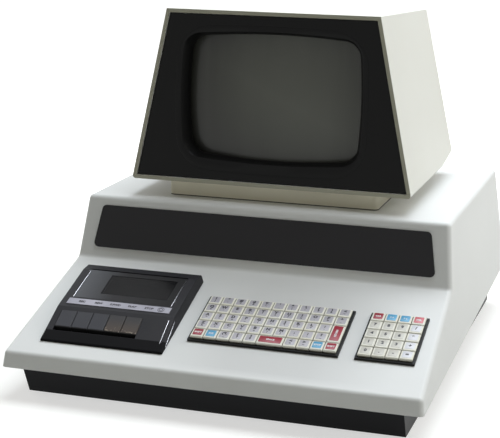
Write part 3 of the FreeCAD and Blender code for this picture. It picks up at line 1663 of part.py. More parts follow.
def make_monitor_board():
    low_z = housing_bottom + s.monitor_wall + s.deflection_board_lift
    low_y = monitor_front + s.deflection_board_front
    half = s.deflection_board_width / 2
    card = box((-half, low_y, low_z), (half * 2, s.deflection_board_depth, s.board_thickness))
    top = low_z + s.board_thickness
    pieces = [card]
    core = centred_box(
        s.flyback_x,
        low_y + s.board_edge * 5,
        top,
        (s.flyback_width, s.flyback_width, s.flyback_height / 2),
    )
    coil = cylinder(
        (s.flyback_x, low_y + s.board_edge * 5 + s.flyback_width / 2, top + s.flyback_height / 2),
        s.flyback_coil_radius,
        s.flyback_height / 2,
    )
    pieces += [core, coil]
    pieces.append(
        centred_box(
            -s.flyback_x, low_y + s.board_edge * 5, top, (s.flyback_width, s.terminal_radius, s.heat_tab_height)
        )
    )
    for x in (-half + s.board_edge, half - s.board_edge):
        for y in (low_y + s.board_edge, low_y + s.deflection_board_depth - s.board_edge):
            place = (x, y, low_z - s.deflection_board_lift)
            pieces.append(hexagon(place, s.boss_radius, s.deflection_board_lift))
    return keep("monitor_board", group(*pieces))


rear_length = rear_drop / sine(-rear_tilt)


def make_rear_cover():
    """Flat steel cover let in to the back, with two stacks of vent slots and four screws."""
    wall = s.monitor_wall + s.gap
    low, high = wall, rear_length - wall
    half_top = monitor_half_width(rear_top_z - low) - wall
    half_low = monitor_half_width(rear_top_z - high) - wall
    points = [(-half_top, low), (half_top, low), (half_low, high), (-half_low, high)]
    start = -s.rear_recess - s.rear_thickness
    plate = prism("xy", points, start, s.rear_thickness)
    holes = []
    for n in range(REAR_VENTS):
        for side in (-1, 1):
            holes.append(
                centred_box(
                    side * s.rear_slot_half_space,
                    s.rear_slot_start + s.rear_slot_pitch * n,
                    start - s.rear_thickness,
                    (s.rear_slot_length, s.rear_slot_width, s.rear_thickness * 3),
                )
            )
    shaft_hole = s.knob_shaft_radius + s.gap
    holes.append(cylinder((s.knob_x, s.knob_drop, start - s.rear_thickness), shaft_hole, s.rear_thickness * 3))
    cover = cut(plate, *holes)
    screws = []
    for side in (-1, 1):
        for level in (low + s.bracket_size / 2, high - s.bracket_size / 2):
            x = side * (monitor_half_width(rear_top_z - level) - wall - s.bracket_size / 2)
            screws.append(hexagon((x, level, -s.rear_recess), s.rear_screw_radius, s.screw_height))
    return keep("rear_cover", put(group(cover, *screws), (0, 0 * s.gap, 0 * s.gap), rear))


def make_brightness_knob():
    start = -s.rear_recess + s.gap
    place = (s.knob_x, s.knob_drop, start)
    knob = cylinder(place, s.knob_radius, s.knob_height)
    knob = bevel_edges(knob, s.knob_flute, horizontal_level(start + s.knob_height))
    pointer = box(
        (s.knob_x - s.knob_pointer / 2, s.knob_drop, start + s.knob_height - s.knob_pointer / 2),
        (s.knob_pointer, s.knob_radius * 2, s.knob_pointer),
    )
    depth = s.rear_thickness + s.gap * 2 + s.knob_height / 2
    shaft = cylinder((s.knob_x, s.knob_drop, start - depth), s.knob_shaft_radius, depth + s.gap)
    body = fuse(cut(knob, pointer), shaft)
    return keep("brightness_knob", put(body, (0, 0 * s.gap, 0 * s.gap), rear))


make_base_pan()
make_rubber_feet()
make_main_board()
make_power_transformer()
make_filter_capacitor()
make_heat_sink()
make_power_switch()
make_switch_rocker()
make_fuse_holder()
make_mains_gland()
make_hinge_leaves()
make_prop_rod()
make_upper_case()
make_badge_panel()
make_keypads()
make_cassette_housing()
make_cassette_lid()
make_label_strip()
make_piano_keys()
make_cassette_chassis()
make_spindles()
make_drive()
make_drive_belt()
make_monitor_neck()
make_monitor_housing()
make_monitor_bezel()
make_picture_tube()
make_deflection_yoke()
make_monitor_board()
make_rear_cover()
make_brightness_knob()
doc.recompute()

failed = [o.Name for o in doc.Objects if "Invalid" in o.State or "Error" in o.State]
if failed:
    raise RuntimeError(f"objects that failed: {failed}")
faulty = [n for n, part in subparts.items() if part.Shape.isNull() or not part.Shape.isValid()]
if faulty:
    raise RuntimeError(f"sub-parts without a valid shape: {faulty}")

os.makedirs("parts", exist_ok=True)
for label, part in subparts.items():
    part.Shape.exportStep(f"parts/{label}.step")
print(f"{len(subparts)} sub-parts written")
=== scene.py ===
"""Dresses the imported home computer: finishes, printed keys, screen mask, trim, studio and camera."""

import math

import bmesh
import bpy
from mathutils import Matrix, Vector


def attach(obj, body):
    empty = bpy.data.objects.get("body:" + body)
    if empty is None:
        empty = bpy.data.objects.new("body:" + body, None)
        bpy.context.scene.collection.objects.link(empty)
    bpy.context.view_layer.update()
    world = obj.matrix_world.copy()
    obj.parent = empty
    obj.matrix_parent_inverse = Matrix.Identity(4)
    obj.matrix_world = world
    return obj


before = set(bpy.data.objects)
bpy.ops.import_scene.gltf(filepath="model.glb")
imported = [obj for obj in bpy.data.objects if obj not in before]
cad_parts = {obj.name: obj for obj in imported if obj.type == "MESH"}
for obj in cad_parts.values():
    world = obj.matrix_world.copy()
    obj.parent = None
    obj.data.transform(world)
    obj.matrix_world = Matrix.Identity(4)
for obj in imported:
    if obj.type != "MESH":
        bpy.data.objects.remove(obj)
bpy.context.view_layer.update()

MM = 0.001
PICTURE_WIDTH = 500
PICTURE_HEIGHT = 438
SENSOR = 36.0

# The photograph's camera
CAMERA_PLACE = (0.43495, -1.38676, 0.50074)
CAMERA_YAW = 16.61
CAMERA_PITCH = 14.02
CAMERA_ROLL = 0.68
FOCAL_PIXELS = 1396.07
AXIS_PIXEL = (300.06, 222.46)
CLIP_RANGE = (0.05, 50.0)

# Main planes of the machine, as in the part's own sizes
DECK_EDGE = (0.0, -236.0 * MM, 47.5 * MM)
DECK_TILT = 19.7
CASE_TOP = 167.24 * MM
TUBE_MIDDLE = (12 * MM, -32.6 * MM, 273.9 * MM)
KEY_TOP_INSET = 0.3 * MM
KEY_PITCH = 13.3 * MM
KEYBOARD_COLUMNS = 11
NUMPAD_COLUMNS = 4


def tilted_plane(origin, degrees):
    """Axes of a plane that rises to the back: across, up along it, and away from it."""
    turn = Matrix.Rotation(math.radians(degrees), 4, "X")
    return Matrix.Translation(Vector(origin)) @ turn


DECK = tilted_plane(DECK_EDGE, DECK_TILT)


def plane_box(node):
    """Lowest and highest corner of a node in the deck's own axes."""
    back = DECK.inverted()
    corners = [back @ v.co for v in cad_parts[node].data.vertices]
    low = Vector(min(c[n] for c in corners) for n in range(3))
    high = Vector(max(c[n] for c in corners) for n in range(3))
    return low, high


# Finishes
ACROSS = (1.0, 0.0, 0.0)
BACK = (0.0, 1.0, 0.0)
FRONT = (0.0, -1.0, 0.0)
UP = (0.0, 0.0, 1.0)
RAY_SAMPLES = 4
FACING_RANGE = (0.82, 0.92)
HOLLOW_RANGE = (0.75, 0.15)
EDGE_RANGE = (1.0, 0.65)
STEEL_EDGE = 0.5 * MM
MOULDED_EDGE = 0.3 * MM
RUBBED_EDGE = 0.4 * MM
METAL_EDGE = 0.25 * MM
BOARD_EDGE = 0.2 * MM
METAL_MARKS = 0.02 * MM
TRACK_DEPTH = 0.03 * MM
# Reach of the painted shade in the case's deep corners and down between the keys
CORNER_SHADE_REACH = 14 * MM
KEY_GAP_SHADE_REACH = 3 * MM
TRACK_OFFSET = 0.37
TRACKS = {
    "Scale": 42.0,
    "Mortar Size": 0.028,
    "Mortar Smooth": 0.3,
    "Brick Width": 0.8,
    "Row Height": 0.11,
}
PADS = {"Scale": 230.0, "Randomness": 0.35}
PAD_RANGE = (0.16, 0.12)
BOARD_TOP = 14.6 * MM
BOARD_REAR = 224 * MM
FINGER_PITCH = 3.96 * MM
# Reach of the painted light in the tube's middle, and of the painted shade towards its lower left
LIT_MIDDLE_OUTER = 105 * MM
LIT_MIDDLE_INNER = 20 * MM
TUBE_SHADE_REACH = -110 * MM
COATING_START = 10 * MM
LEVER_FRONT = 38 * MM
LEVER_TOP = 8 * MM
APRON_BACK = 33.5 * MM
LID_MIDDLE = -110 * MM
# Middle, reach and back of the painted shade on the deck
DECK_SHADE_MIDDLE = 55 * MM
DECK_SHADE_REACH = (120 * MM, 40 * MM)
DECK_SHADE_BACK = -100 * MM


class Finish:
    """A node material round one Principled shader; what varies over the surface is linked to it."""

    def __init__(self, name, colour, roughness=0.5, **sockets):
        self.material = bpy.data.materials.new(name)
        self.material.use_nodes = True
        self.material.diffuse_color = (*colour, 1.0)
        self.nodes = self.material.node_tree.nodes
        self.links = self.material.node_tree.links
        self.shader = self.nodes["Principled BSDF"]
        self.colour = tuple(colour)
        self.tint_socket = None
        self.shader.inputs["Base Color"].default_value = (*colour, 1.0)
        self.shader.inputs["Roughness"].default_value = roughness
        for socket, value in sockets.items():
            self.shader.inputs[socket.replace("_", " ")].default_value = value
        self.place = self.nodes.new("ShaderNodeTexCoord").outputs["Object"]
        self.height_socket = None

    def feed(self, node, inputs):
        """Link or set a node's inputs, and give the node back."""
        for key, value in inputs.items():
            if isinstance(value, bpy.types.NodeSocket):
                self.links.new(value, node.inputs[key])
            else:
                node.inputs[key].default_value = value
        return node

    def noise(self, scale, detail, stretch=(1.0, 1.0, 1.0)):
        """Noise of about one blob per 1/scale metres."""
        mapping = self.feed(
            self.nodes.new("ShaderNodeMapping"), {"Vector": self.place, "Scale": stretch}
        )
        inputs = {"Vector": mapping.outputs[0], "Scale": scale, "Detail": detail}
        return self.feed(self.nodes.new("ShaderNodeTexNoise"), inputs).outputs["Fac"]

    def spread(self, value, low, high, to_low=0.0, to_high=1.0):
        """Map a value from one range to another, held at both ends."""
        inputs = {
            "Value": value,
            "From Min": low,
            "From Max": high,
            "To Min": to_low,
            "To Max": to_high,
        }
        return self.feed(self.nodes.new("ShaderNodeMapRange"), inputs).outputs[0]

    def combine(self, operation, first, second=0.0):
        """One step of arithmetic on one or two values."""
        node = self.nodes.new("ShaderNodeMath")
        node.operation = operation
        return self.feed(node, {0: first, 1: second}).outputs[0]

    def along(self, direction, origin=(0.0, 0.0, 0.0)):
        """Distance in metres along a direction of the machine, from a point."""
        node = self.nodes.new("ShaderNodeVectorMath")
        node.operation = "DOT_PRODUCT"
        self.feed(node, {0: self.place, 1: direction})
        reach = sum(a * b for a, b in zip(direction, origin))
        return self.combine("SUBTRACT", node.outputs["Value"], reach)

    def facing(self, direction):
        """One on faces square to a direction, zero on the rest."""
        node = self.nodes.new("ShaderNodeVectorMath")
        node.operation = "DOT_PRODUCT"
        flat = self.nodes.new("ShaderNodeNewGeometry").outputs["Normal"]
        self.feed(node, {0: flat, 1: direction})
        return self.spread(node.outputs["Value"], *FACING_RANGE)

    def edge(self, radius):
        """One on edges of about this radius, zero on flats."""
        bevel = self.nodes.new("ShaderNodeBevel")
        bevel.samples = RAY_SAMPLES
        self.feed(bevel, {"Radius": radius})
        flat = self.nodes.new("ShaderNodeNewGeometry").outputs["Normal"]
        node = self.nodes.new("ShaderNodeVectorMath")
        node.operation = "DOT_PRODUCT"
        self.feed(node, {0: bevel.outputs[0], 1: flat})
        return self.spread(node.outputs["Value"], *EDGE_RANGE)

    def hollow(self, distance):
        """One deep in corners, zero in the open."""
        node = self.nodes.new("ShaderNodeAmbientOcclusion")
        node.samples = RAY_SAMPLES
        self.feed(node, {"Distance": distance})
        return self.spread(node.outputs["AO"], *HOLLOW_RANGE)

    def tint(self, factor, colour):
        """Blend the base colour towards another where factor is one."""
        node = self.nodes.new("ShaderNodeMix")
        node.data_type = "RGBA"
        self.links.new(factor, node.inputs["Factor"])
        if self.tint_socket is None:
            node.inputs["A"].default_value = (*self.colour, 1.0)
        else:
            self.links.new(self.tint_socket, node.inputs["A"])
        node.inputs["B"].default_value = (*colour, 1.0)
        self.tint_socket = node.outputs["Result"]
        self.links.new(self.tint_socket, self.shader.inputs["Base Color"])
        return self

    def rough(self, factor, low, high):
        """Let the roughness run from low to high with a factor."""
        self.links.new(self.spread(factor, 0.0, 1.0, low, high), self.shader.inputs["Roughness"])
        return self

    def bump(self, height, depth):
        """Raise the surface by depth metres where height is one."""
        node = self.nodes.new("ShaderNodeBump")
        inputs = {"Height": height, "Distance": depth}
        if self.height_socket is not None:
            inputs["Normal"] = self.height_socket
        self.feed(node, inputs)
        self.height_socket = node.outputs["Normal"]
        self.links.new(self.height_socket, self.shader.inputs["Normal"])
        return self

    def rounded(self, radius):
        """Let sharp edges catch light as if they had this radius."""
        bevel = self.nodes.new("ShaderNodeBevel")
        bevel.samples = RAY_SAMPLES
        self.feed(bevel, {"Radius": radius})
        self.height_socket = bevel.outputs[0]
        self.links.new(self.height_socket, self.shader.inputs["Normal"])
        return self


def painted(name, colour, shade, grain=900.0, depth=0.04 * MM, roughness=(0.34, 0.5), edge=None, **sockets):
    """Enamel on sheet steel: a slow change of tone, a fine orange-peel skin and soft edges."""
    made = Finish(name, colour, **sockets).rounded(STEEL_EDGE)
    cloud = made.noise(6.0, 4.0)
    made.tint(made.spread(cloud, 0.35, 0.75), shade)
    made.rough(made.noise(14.0, 5.0), *roughness)
    made.bump(made.noise(grain, 2.0), depth)
    if edge:
        chips = made.spread(made.noise(260.0, 5.0), 0.5, 0.62)
        made.tint(made.combine("MULTIPLY", made.edge(STEEL_EDGE), chips), edge)
    return made


def moulded(name, colour, shade, grain=1600.0, depth=0.05 * MM, roughness=(0.4, 0.6), edge=None, **sockets):
    """Moulded plastic with a fine spark-eroded grain and paler rubbed edges."""
    made = Finish(name, colour, **sockets).rounded(MOULDED_EDGE)
    made.tint(made.spread(made.noise(22.0, 4.0), 0.4, 0.7), shade)
    made.rough(made.noise(45.0, 5.0), *roughness)
    made.bump(made.noise(grain, 3.0), depth)
    if edge:
        rub = made.spread(made.noise(150.0, 4.0), 0.35, 0.65)
        made.tint(made.combine("MULTIPLY", made.edge(RUBBED_EDGE), rub), edge)
    return made


def metal(name, colour, shade, stretch=(1.0, 1.0, 1.0), roughness=(0.25, 0.45)):
    """Bare or plated metal with drawn or brushed marks."""
    made = Finish(name, colour, Metallic=1.0).rounded(METAL_EDGE)
    made.tint(made.spread(made.noise(60.0, 5.0), 0.4, 0.7), shade)
    made.rough(made.noise(180.0, 4.0, stretch), *roughness)
    made.bump(made.noise(700.0, 2.0, stretch), METAL_MARKS)
    return made


def case_paint(name, colour, shade):
    """Enamel with painted shade in its deep corners, broken into patches."""
    made = painted(name, colour, shade, roughness=(0.42, 0.56), Specular_IOR_Level=0.35)
    shade_patches = made.spread(made.noise(35.0, 6.0), 0.55, 0.8)
    # Painted shade: deep corners darkened towards a warm grey, in patches.
    made.tint(made.combine("MULTIPLY", made.hollow(CORNER_SHADE_REACH), shade_patches), (0.32, 0.3, 0.25))
    return made


def board_laminate(name):
    """Green solder mask with runs of track under it and pale printed dots."""
    made = Finish(name, (0.012, 0.075, 0.03), 0.35).rounded(BOARD_EDGE)
    tracks = made.nodes.new("ShaderNodeTexBrick")
    tracks.offset = TRACK_OFFSET
    made.feed(tracks, {"Vector": made.place, **TRACKS})
    made.tint(tracks.outputs["Fac"], (0.045, 0.17, 0.06))
    pads = made.nodes.new("ShaderNodeTexVoronoi")
    made.feed(pads, {"Vector": made.place, **PADS})
    made.tint(made.spread(pads.outputs["Distance"], *PAD_RANGE), (0.42, 0.42, 0.4))
    made.bump(tracks.outputs["Fac"], TRACK_DEPTH)
    return made


def main_board_finish(top_z, rear_y, pitch):
    """The laminate with gold fingers along its rear edge and black chips above its face."""
    made = board_laminate("main_board_laminate")
    turn = made.combine("MULTIPLY", made.along(ACROSS), 2 * math.pi / pitch)
    finger = made.spread(made.combine("SINE", turn), -0.4, -0.3)
    edge = made.spread(made.along(BACK, (0.0, rear_y, 0.0)), -0.2 * MM, 0.2 * MM)
    made.tint(made.combine("MULTIPLY", finger, edge), (0.62, 0.42, 0.12))
    raised = made.spread(made.along(UP, (0.0, 0.0, top_z)), 0.2 * MM, 0.4 * MM)
    made.tint(raised, (0.014, 0.014, 0.015))
    return made


def tube_finish():
    """Grey-green phosphor behind the glass in front, with painted light in its middle and painted shade
    towards its lower left, matt black coating on the funnel behind it.
    """
    made = Finish("tube_glass", (0.016, 0.017, 0.013), 0.4, Coat_Weight=0.4, Coat_Roughness=0.2)
    made.shader.inputs["Specular IOR Level"].default_value = 0.12
    across = made.along(ACROSS, TUBE_MIDDLE)
    up = made.along(UP, TUBE_MIDDLE)
    reach = made.combine("ADD", made.combine("MULTIPLY", across, across), made.combine("MULTIPLY", up, up))
    # Painted light: the glass lighter in its middle, darker towards its edges.
    lit_middle = made.spread(reach, LIT_MIDDLE_OUTER**2, LIT_MIDDLE_INNER**2)
    made.tint(lit_middle, (0.115, 0.12, 0.102))
    streaks = made.spread(made.noise(26.0, 3.0, (1.0, 1.0, 0.06)), 0.42, 0.7)
    made.tint(made.combine("MULTIPLY", streaks, 0.35), (0.12, 0.122, 0.107))
    # Painted shade towards the lower left of the glass.
    low_left = made.combine("ADD", up, made.combine("MULTIPLY", across, 0.5))
    made.tint(made.spread(low_left, 0.0, TUBE_SHADE_REACH, 0.0, 0.85), (0.01, 0.01, 0.008))
    behind = made.spread(made.along(BACK, (0.0, COATING_START, 0.0)), -0.5 * MM, 0.5 * MM)
    made.tint(behind, (0.006, 0.006, 0.006))
    made.rough(behind, 0.3, 0.85)
    return made


def up_deck(made, s, n=0.0):
    """Distance up the deck's slope from a line across it."""
    tilt = math.radians(DECK_TILT)
    return made.along((0.0, math.cos(tilt), math.sin(tilt)), DECK @ Vector((0, s, n)))


def lever_finish(name, front_s):
    """Black plastic with rubbed edges, its front face painted in deep shade."""
    made = moulded(
        name, (0.033, 0.034, 0.042), (0.042, 0.043, 0.05), edge=(0.13, 0.13, 0.13), Specular_IOR_Level=0.3
    )
    # Painted shade: the front face tinted nearly black.
    made.tint(made.spread(up_deck(made, front_s), 0.5 * MM, 0.1 * MM), (0.004, 0.004, 0.004))
    return made


def housing_finish(apron_s):
    """Dark styrene whose low apron in front of the keys is painted nearly black as painted shade."""
    made = moulded(
        "unit_styrene", (0.0125, 0.0125, 0.0155), (0.017, 0.0165, 0.02), edge=(0.075, 0.075, 0.085),
        Specular_IOR_Level=0.2,
    )
    # Painted shade: the apron tinted nearly black.
    apron = made.spread(up_deck(made, apron_s), 0.4 * MM, -0.4 * MM)
    made.tint(made.combine("MULTIPLY", apron, 0.9), (0.003, 0.003, 0.0035))
    made.links.new(made.spread(apron, 0.0, 1.0, 0.2, 0.06), made.shader.inputs["Specular IOR Level"])
    return made


def lid_finish():
    """Dark polished styrene with a painted reflection that greys it towards its left side, and painted
    darker towards its right.
    """
    made = moulded(
        "lid_styrene", (0.013, 0.0125, 0.014), (0.017, 0.016, 0.018), edge=(0.09, 0.09, 0.1),
        Specular_IOR_Level=0.17,
    )
    across = made.along(ACROSS, (LID_MIDDLE, 0.0, 0.0))
    # Painted reflection on the left of the lid, painted shade on its right.
    made.tint(made.spread(across, -15 * MM, -56 * MM, 0.0, 0.9), (0.11, 0.113, 0.125))
    made.tint(made.spread(across, -10 * MM, 50 * MM, 0.0, 0.8), (0.006, 0.006, 0.0065))
    return made


def worn_key_finish(name, front_s, top_n):
    """A lever whose top is rubbed brown, and through in tan flecks along its front edge, its front face
    painted in deep shade.
    """
    made = moulded(name, (0.03, 0.029, 0.031), (0.036, 0.034, 0.036), Specular_IOR_Level=0.3)
    tilt = math.radians(DECK_TILT)
    behind = up_deck(made, front_s, top_n)
    above = made.along((0.0, -math.sin(tilt), math.cos(tilt)), DECK @ Vector((0, front_s, top_n)))
    top = made.spread(above, -1.2 * MM, -0.6 * MM)
    made.tint(made.combine("MULTIPLY", top, made.spread(behind, 16 * MM, 4 * MM)), (0.062, 0.047, 0.039))
    near = made.spread(behind, 6 * MM, 0.0)
    flecks = made.combine("ADD", made.noise(520.0, 5.0), made.combine("MULTIPLY", near, 0.2))
    made.tint(made.combine("MULTIPLY", top, made.spread(flecks, 0.7, 0.75)), (0.36, 0.31, 0.25))
    # Painted shade: the front face tinted nearly black.
    made.tint(made.spread(behind, 0.5 * MM, 0.1 * MM), (0.004, 0.004, 0.004))
    return made


def upper_case_finish():
    """Case enamel, tinted cool as painted light, with a little painted shade on the deck round the
    keyboard.
    """
    made = case_paint("case_enamel", (0.79, 0.795, 0.79), (0.76, 0.765, 0.76))
    # Painted shade on the deck round the keyboard, deepest in its middle.
    middle = made.along(ACROSS, (DECK_SHADE_MIDDLE, 0.0, 0.0))
    near = made.spread(made.combine("ABSOLUTE", middle), *DECK_SHADE_REACH)
    deck = made.spread(up_deck(made, 0.0), 0.0, 12 * MM)
    front = made.spread(made.along(BACK, (0.0, DECK_SHADE_BACK, 0.0)), 20 * MM, -20 * MM)
    zone = made.combine("MULTIPLY", near, made.combine("MULTIPLY", deck, front))
    made.tint(made.combine("MULTIPLY", zone, 0.8), (0.62, 0.62, 0.615))
    return made


def monitor_finish():
    """Warm enamel whose faces towards the front, the rim round the front among them, are darkened as
    painted shade.
    """
    made = case_paint("monitor_enamel", (0.82, 0.815, 0.765), (0.79, 0.785, 0.73))
    # Painted shade on the faces towards the front.
    made.tint(made.facing(FRONT), (0.42, 0.41, 0.33))
    return made


def cap_finish():
    """Cream keys with painted shade growing dark down between them."""
    made = moulded("cap_abs", (0.8, 0.785, 0.71), (0.74, 0.715, 0.61), depth=0.02 * MM)
    # Painted shade down between the keys.
    made.tint(made.hollow(KEY_GAP_SHADE_REACH), (0.16, 0.14, 0.11))
    return made


def neck_finish():
    """Case enamel in a warmer olive tone as painted shade under the monitor, with the dark joint line round
    the foot of the neck.
    """
    # Painted shade: the case's enamel given the warm olive tone of the shade under the monitor.
    made = case_paint("neck_enamel", (0.8, 0.76, 0.63), (0.76, 0.72, 0.59))
    line = made.spread(made.along(UP, (0.0, 0.0, CASE_TOP)), 1.3 * MM, 0.9 * MM)
    made.tint(line, (0.05, 0.045, 0.035))
    return made


def plate_print(name, colour, shade):
    """Flat printing ink with a slow change of tone."""
    made = Finish(name, colour, 0.34)
    made.tint(made.spread(made.noise(70.0, 4.0), 0.35, 0.7), shade)
    made.rough(made.noise(160.0, 4.0), 0.3, 0.48)
    return made


PAINT = {
    "case": upper_case_finish(),
    "monitor": monitor_finish(),
    "neck": neck_finish(),
    "tray": painted(
        "tray_enamel", (0.0055, 0.006, 0.0075), (0.008, 0.0085, 0.0105), edge=(0.12, 0.12, 0.12),
        Specular_IOR_Level=0.12,
    ),
    "bezel": painted(
        "bezel_enamel", (0.0045, 0.0045, 0.0045), (0.006, 0.006, 0.006), grain=1500.0, depth=0.01 * MM,
        roughness=(0.3, 0.42), Specular_IOR_Level=0.11,
    ),
    "badge": painted(
        "badge_anodised", (0.0145, 0.014, 0.015), (0.017, 0.0163, 0.018), grain=2200.0,
        depth=0.008 * MM, roughness=(0.36, 0.48), edge=(0.2, 0.2, 0.2), Specular_IOR_Level=0.18,
    ),
    "tube": tube_finish(),
    "unit": housing_finish(APRON_BACK),
    "lid": lid_finish(),
    "window": moulded(
        "window_acrylic", (0.05, 0.05, 0.055), (0.07, 0.07, 0.075), depth=0.004 * MM,
        roughness=(0.1, 0.2), Specular_IOR_Level=0.22, Transmission_Weight=0.8, IOR=1.2,
    ),
    "strip": moulded(
        "strip_foil", (0.32, 0.315, 0.37), (0.42, 0.41, 0.47), depth=0.01 * MM, roughness=(0.3, 0.45),
        Metallic=0.25,
    ),
    "cap": cap_finish(),
    "lever": lever_finish("lever_abs", LEVER_FRONT),
    "worn": worn_key_finish("lever_worn", LEVER_FRONT, LEVER_TOP),
    "frame": moulded(
        "frame_black", (0.007, 0.007, 0.007), (0.011, 0.011, 0.011), edge=(0.07, 0.07, 0.07),
        Specular_IOR_Level=0.2,
    ),
    "board": board_laminate("board_laminate"),
    "main_board": main_board_finish(BOARD_TOP, BOARD_REAR, FINGER_PITCH),
    "plated": metal("zinc_plate", (0.62, 0.6, 0.52), (0.5, 0.5, 0.46)),
    "iron": metal("core_iron", (0.34, 0.33, 0.31), (0.2, 0.19, 0.17), stretch=(0.02, 1.0, 1.0)),
    "can": metal("can_aluminium", (0.72, 0.72, 0.73), (0.6, 0.6, 0.62)),
    "sink": metal("sink_anodised", (0.03, 0.03, 0.03), (0.05, 0.05, 0.05), stretch=(1.0, 0.05, 1.0)),
    "copper": metal("winding_copper", (0.55, 0.24, 0.1), (0.4, 0.16, 0.07), stretch=(1.0, 0.02, 1.0)),
    "brass": metal("bearing_brass", (0.62, 0.46, 0.2), (0.5, 0.36, 0.16)),
    "rubber": moulded("rubber_black", (0.016, 0.016, 0.016), (0.03, 0.03, 0.03), roughness=(0.7, 0.9)),
    "fitting": moulded("fitting_black", (0.017, 0.017, 0.018), (0.024, 0.024, 0.025), edge=(0.1, 0.1, 0.1)),
    "white": moulded("reel_acetal", (0.6, 0.6, 0.57), (0.52, 0.52, 0.5)),
    "lavender": plate_print("print_lavender", (0.46, 0.44, 0.49), (0.53, 0.51, 0.55)),
    "bone": plate_print("print_bone", (0.56, 0.54, 0.49), (0.62, 0.6, 0.55)),
    "dusk": plate_print("print_dusk", (0.38, 0.365, 0.41), (0.44, 0.42, 0.46)),
    "pale": plate_print("print_pale", (0.66, 0.66, 0.72), (0.72, 0.72, 0.76)),
    "red": plate_print("print_red", (0.29, 0.014, 0.032), (0.34, 0.02, 0.04)),
    "pink": plate_print("print_pink", (0.56, 0.12, 0.15), (0.6, 0.14, 0.17)),
    "blue": plate_print("print_blue", (0.08, 0.33, 0.56), (0.1, 0.37, 0.6)),
    "ink": plate_print("print_ink", (0.01, 0.009, 0.015), (0.018, 0.016, 0.026)),
    "white_ink": plate_print("print_white", (0.78, 0.76, 0.76), (0.7, 0.68, 0.7)),
    # Bright metal for the painted highlights on the lid's sides and the housing's edges.
    "bright": metal("edge_bright", (0.66, 0.66, 0.7), (0.5, 0.5, 0.54), roughness=(0.2, 0.3)),
}

NODE_PAINT = {
    "case": ["upper_case"],
    "monitor": ["monitor_housing", "rear_cover"],
    "neck": ["monitor_neck"],
    "tray": ["base_pan"],
    "bezel": ["monitor_bezel"],
    "badge": ["badge_panel"],
    "tube": ["picture_tube"],
    "unit": ["cassette_housing"],
    "lid": ["cassette_lid"],
    "window": ["lid_window"],
    "strip": ["label_strip"],
    "lever": ["record_key", "rewind_key", "forward_key"],
    "worn": ["play_key", "stop_key"],
    "frame": ["keyboard_frame", "numpad_frame"],
    "board": ["keyboard_board", "monitor_board"],
    "main_board": ["main_board"],
    "plated": ["base_hinge_leaves", "case_hinge_leaves", "prop_rod", "cassette_chassis"],
    "iron": ["power_transformer"],
    "can": ["filter_capacitor", "cassette_motor"],
    "sink": ["heat_sink"],
    "copper": ["deflection_yoke"],
    "brass": ["motor_pulley", "capstan_flywheel"],
    "rubber": ["rubber_feet", "drive_belt", "pinch_roller"],
    "fitting": ["power_switch", "switch_rocker", "fuse_holder", "mains_gland", "brightness_knob"],
    "white": ["supply_spindle", "takeup_spindle"],
}
CAP_NODES = [f"keycaps_row_{n}" for n in range(1, 6)] + [f"numpad_row_{n}" for n in range(1, 6)]
SINGLE_KEYS = [
    "shift_key_left",
    "blue_key_left",
    "space_key",
    "blue_key_right",
    "shift_key_right",
    "return_key",
]
NODE_PAINT["cap"] = CAP_NODES + SINGLE_KEYS


def paint_nodes():
    """Give every solid its finish, and stop if one is left without."""
    for finish, nodes in NODE_PAINT.items():
        for name in nodes:
            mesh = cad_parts[name].data
            mesh.materials.clear()
            mesh.materials.append(PAINT[finish].material)
    made = {finish.material.name for finish in PAINT.values()}
    bare = [n for n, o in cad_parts.items() if o.data.materials[0].name not in made]
    if bare:
        raise ValueError(f"nodes without a finish: {bare}")


# Added pieces
PRINT_DEPTH = 0.06 * MM
PRINT_WEIGHT = 0.055
SMOOTH_LIMIT = 40
# Place along the bar from its end, and size, of each ring of a domed end, both in radii
DOME_RINGS = ((-1.0, 0.45), (-0.7, 0.85), (0.0, 1.0))


def rounded_outline(width, length, radius, steps, centre=(0.0, 0.0)):
    """Corners of a rectangle with round corners, anticlockwise."""
    points = []
    for n, (a, b) in enumerate(((1, 1), (-1, 1), (-1, -1), (1, -1))):
        for k in range(steps + 1):
            turn = math.pi / 2 * (n + k / steps)
            x = centre[0] + a * (width / 2 - radius) + radius * math.cos(turn)
            y = centre[1] + b * (length / 2 - radius) + radius * math.sin(turn)
            points.append((x, y))
    return points


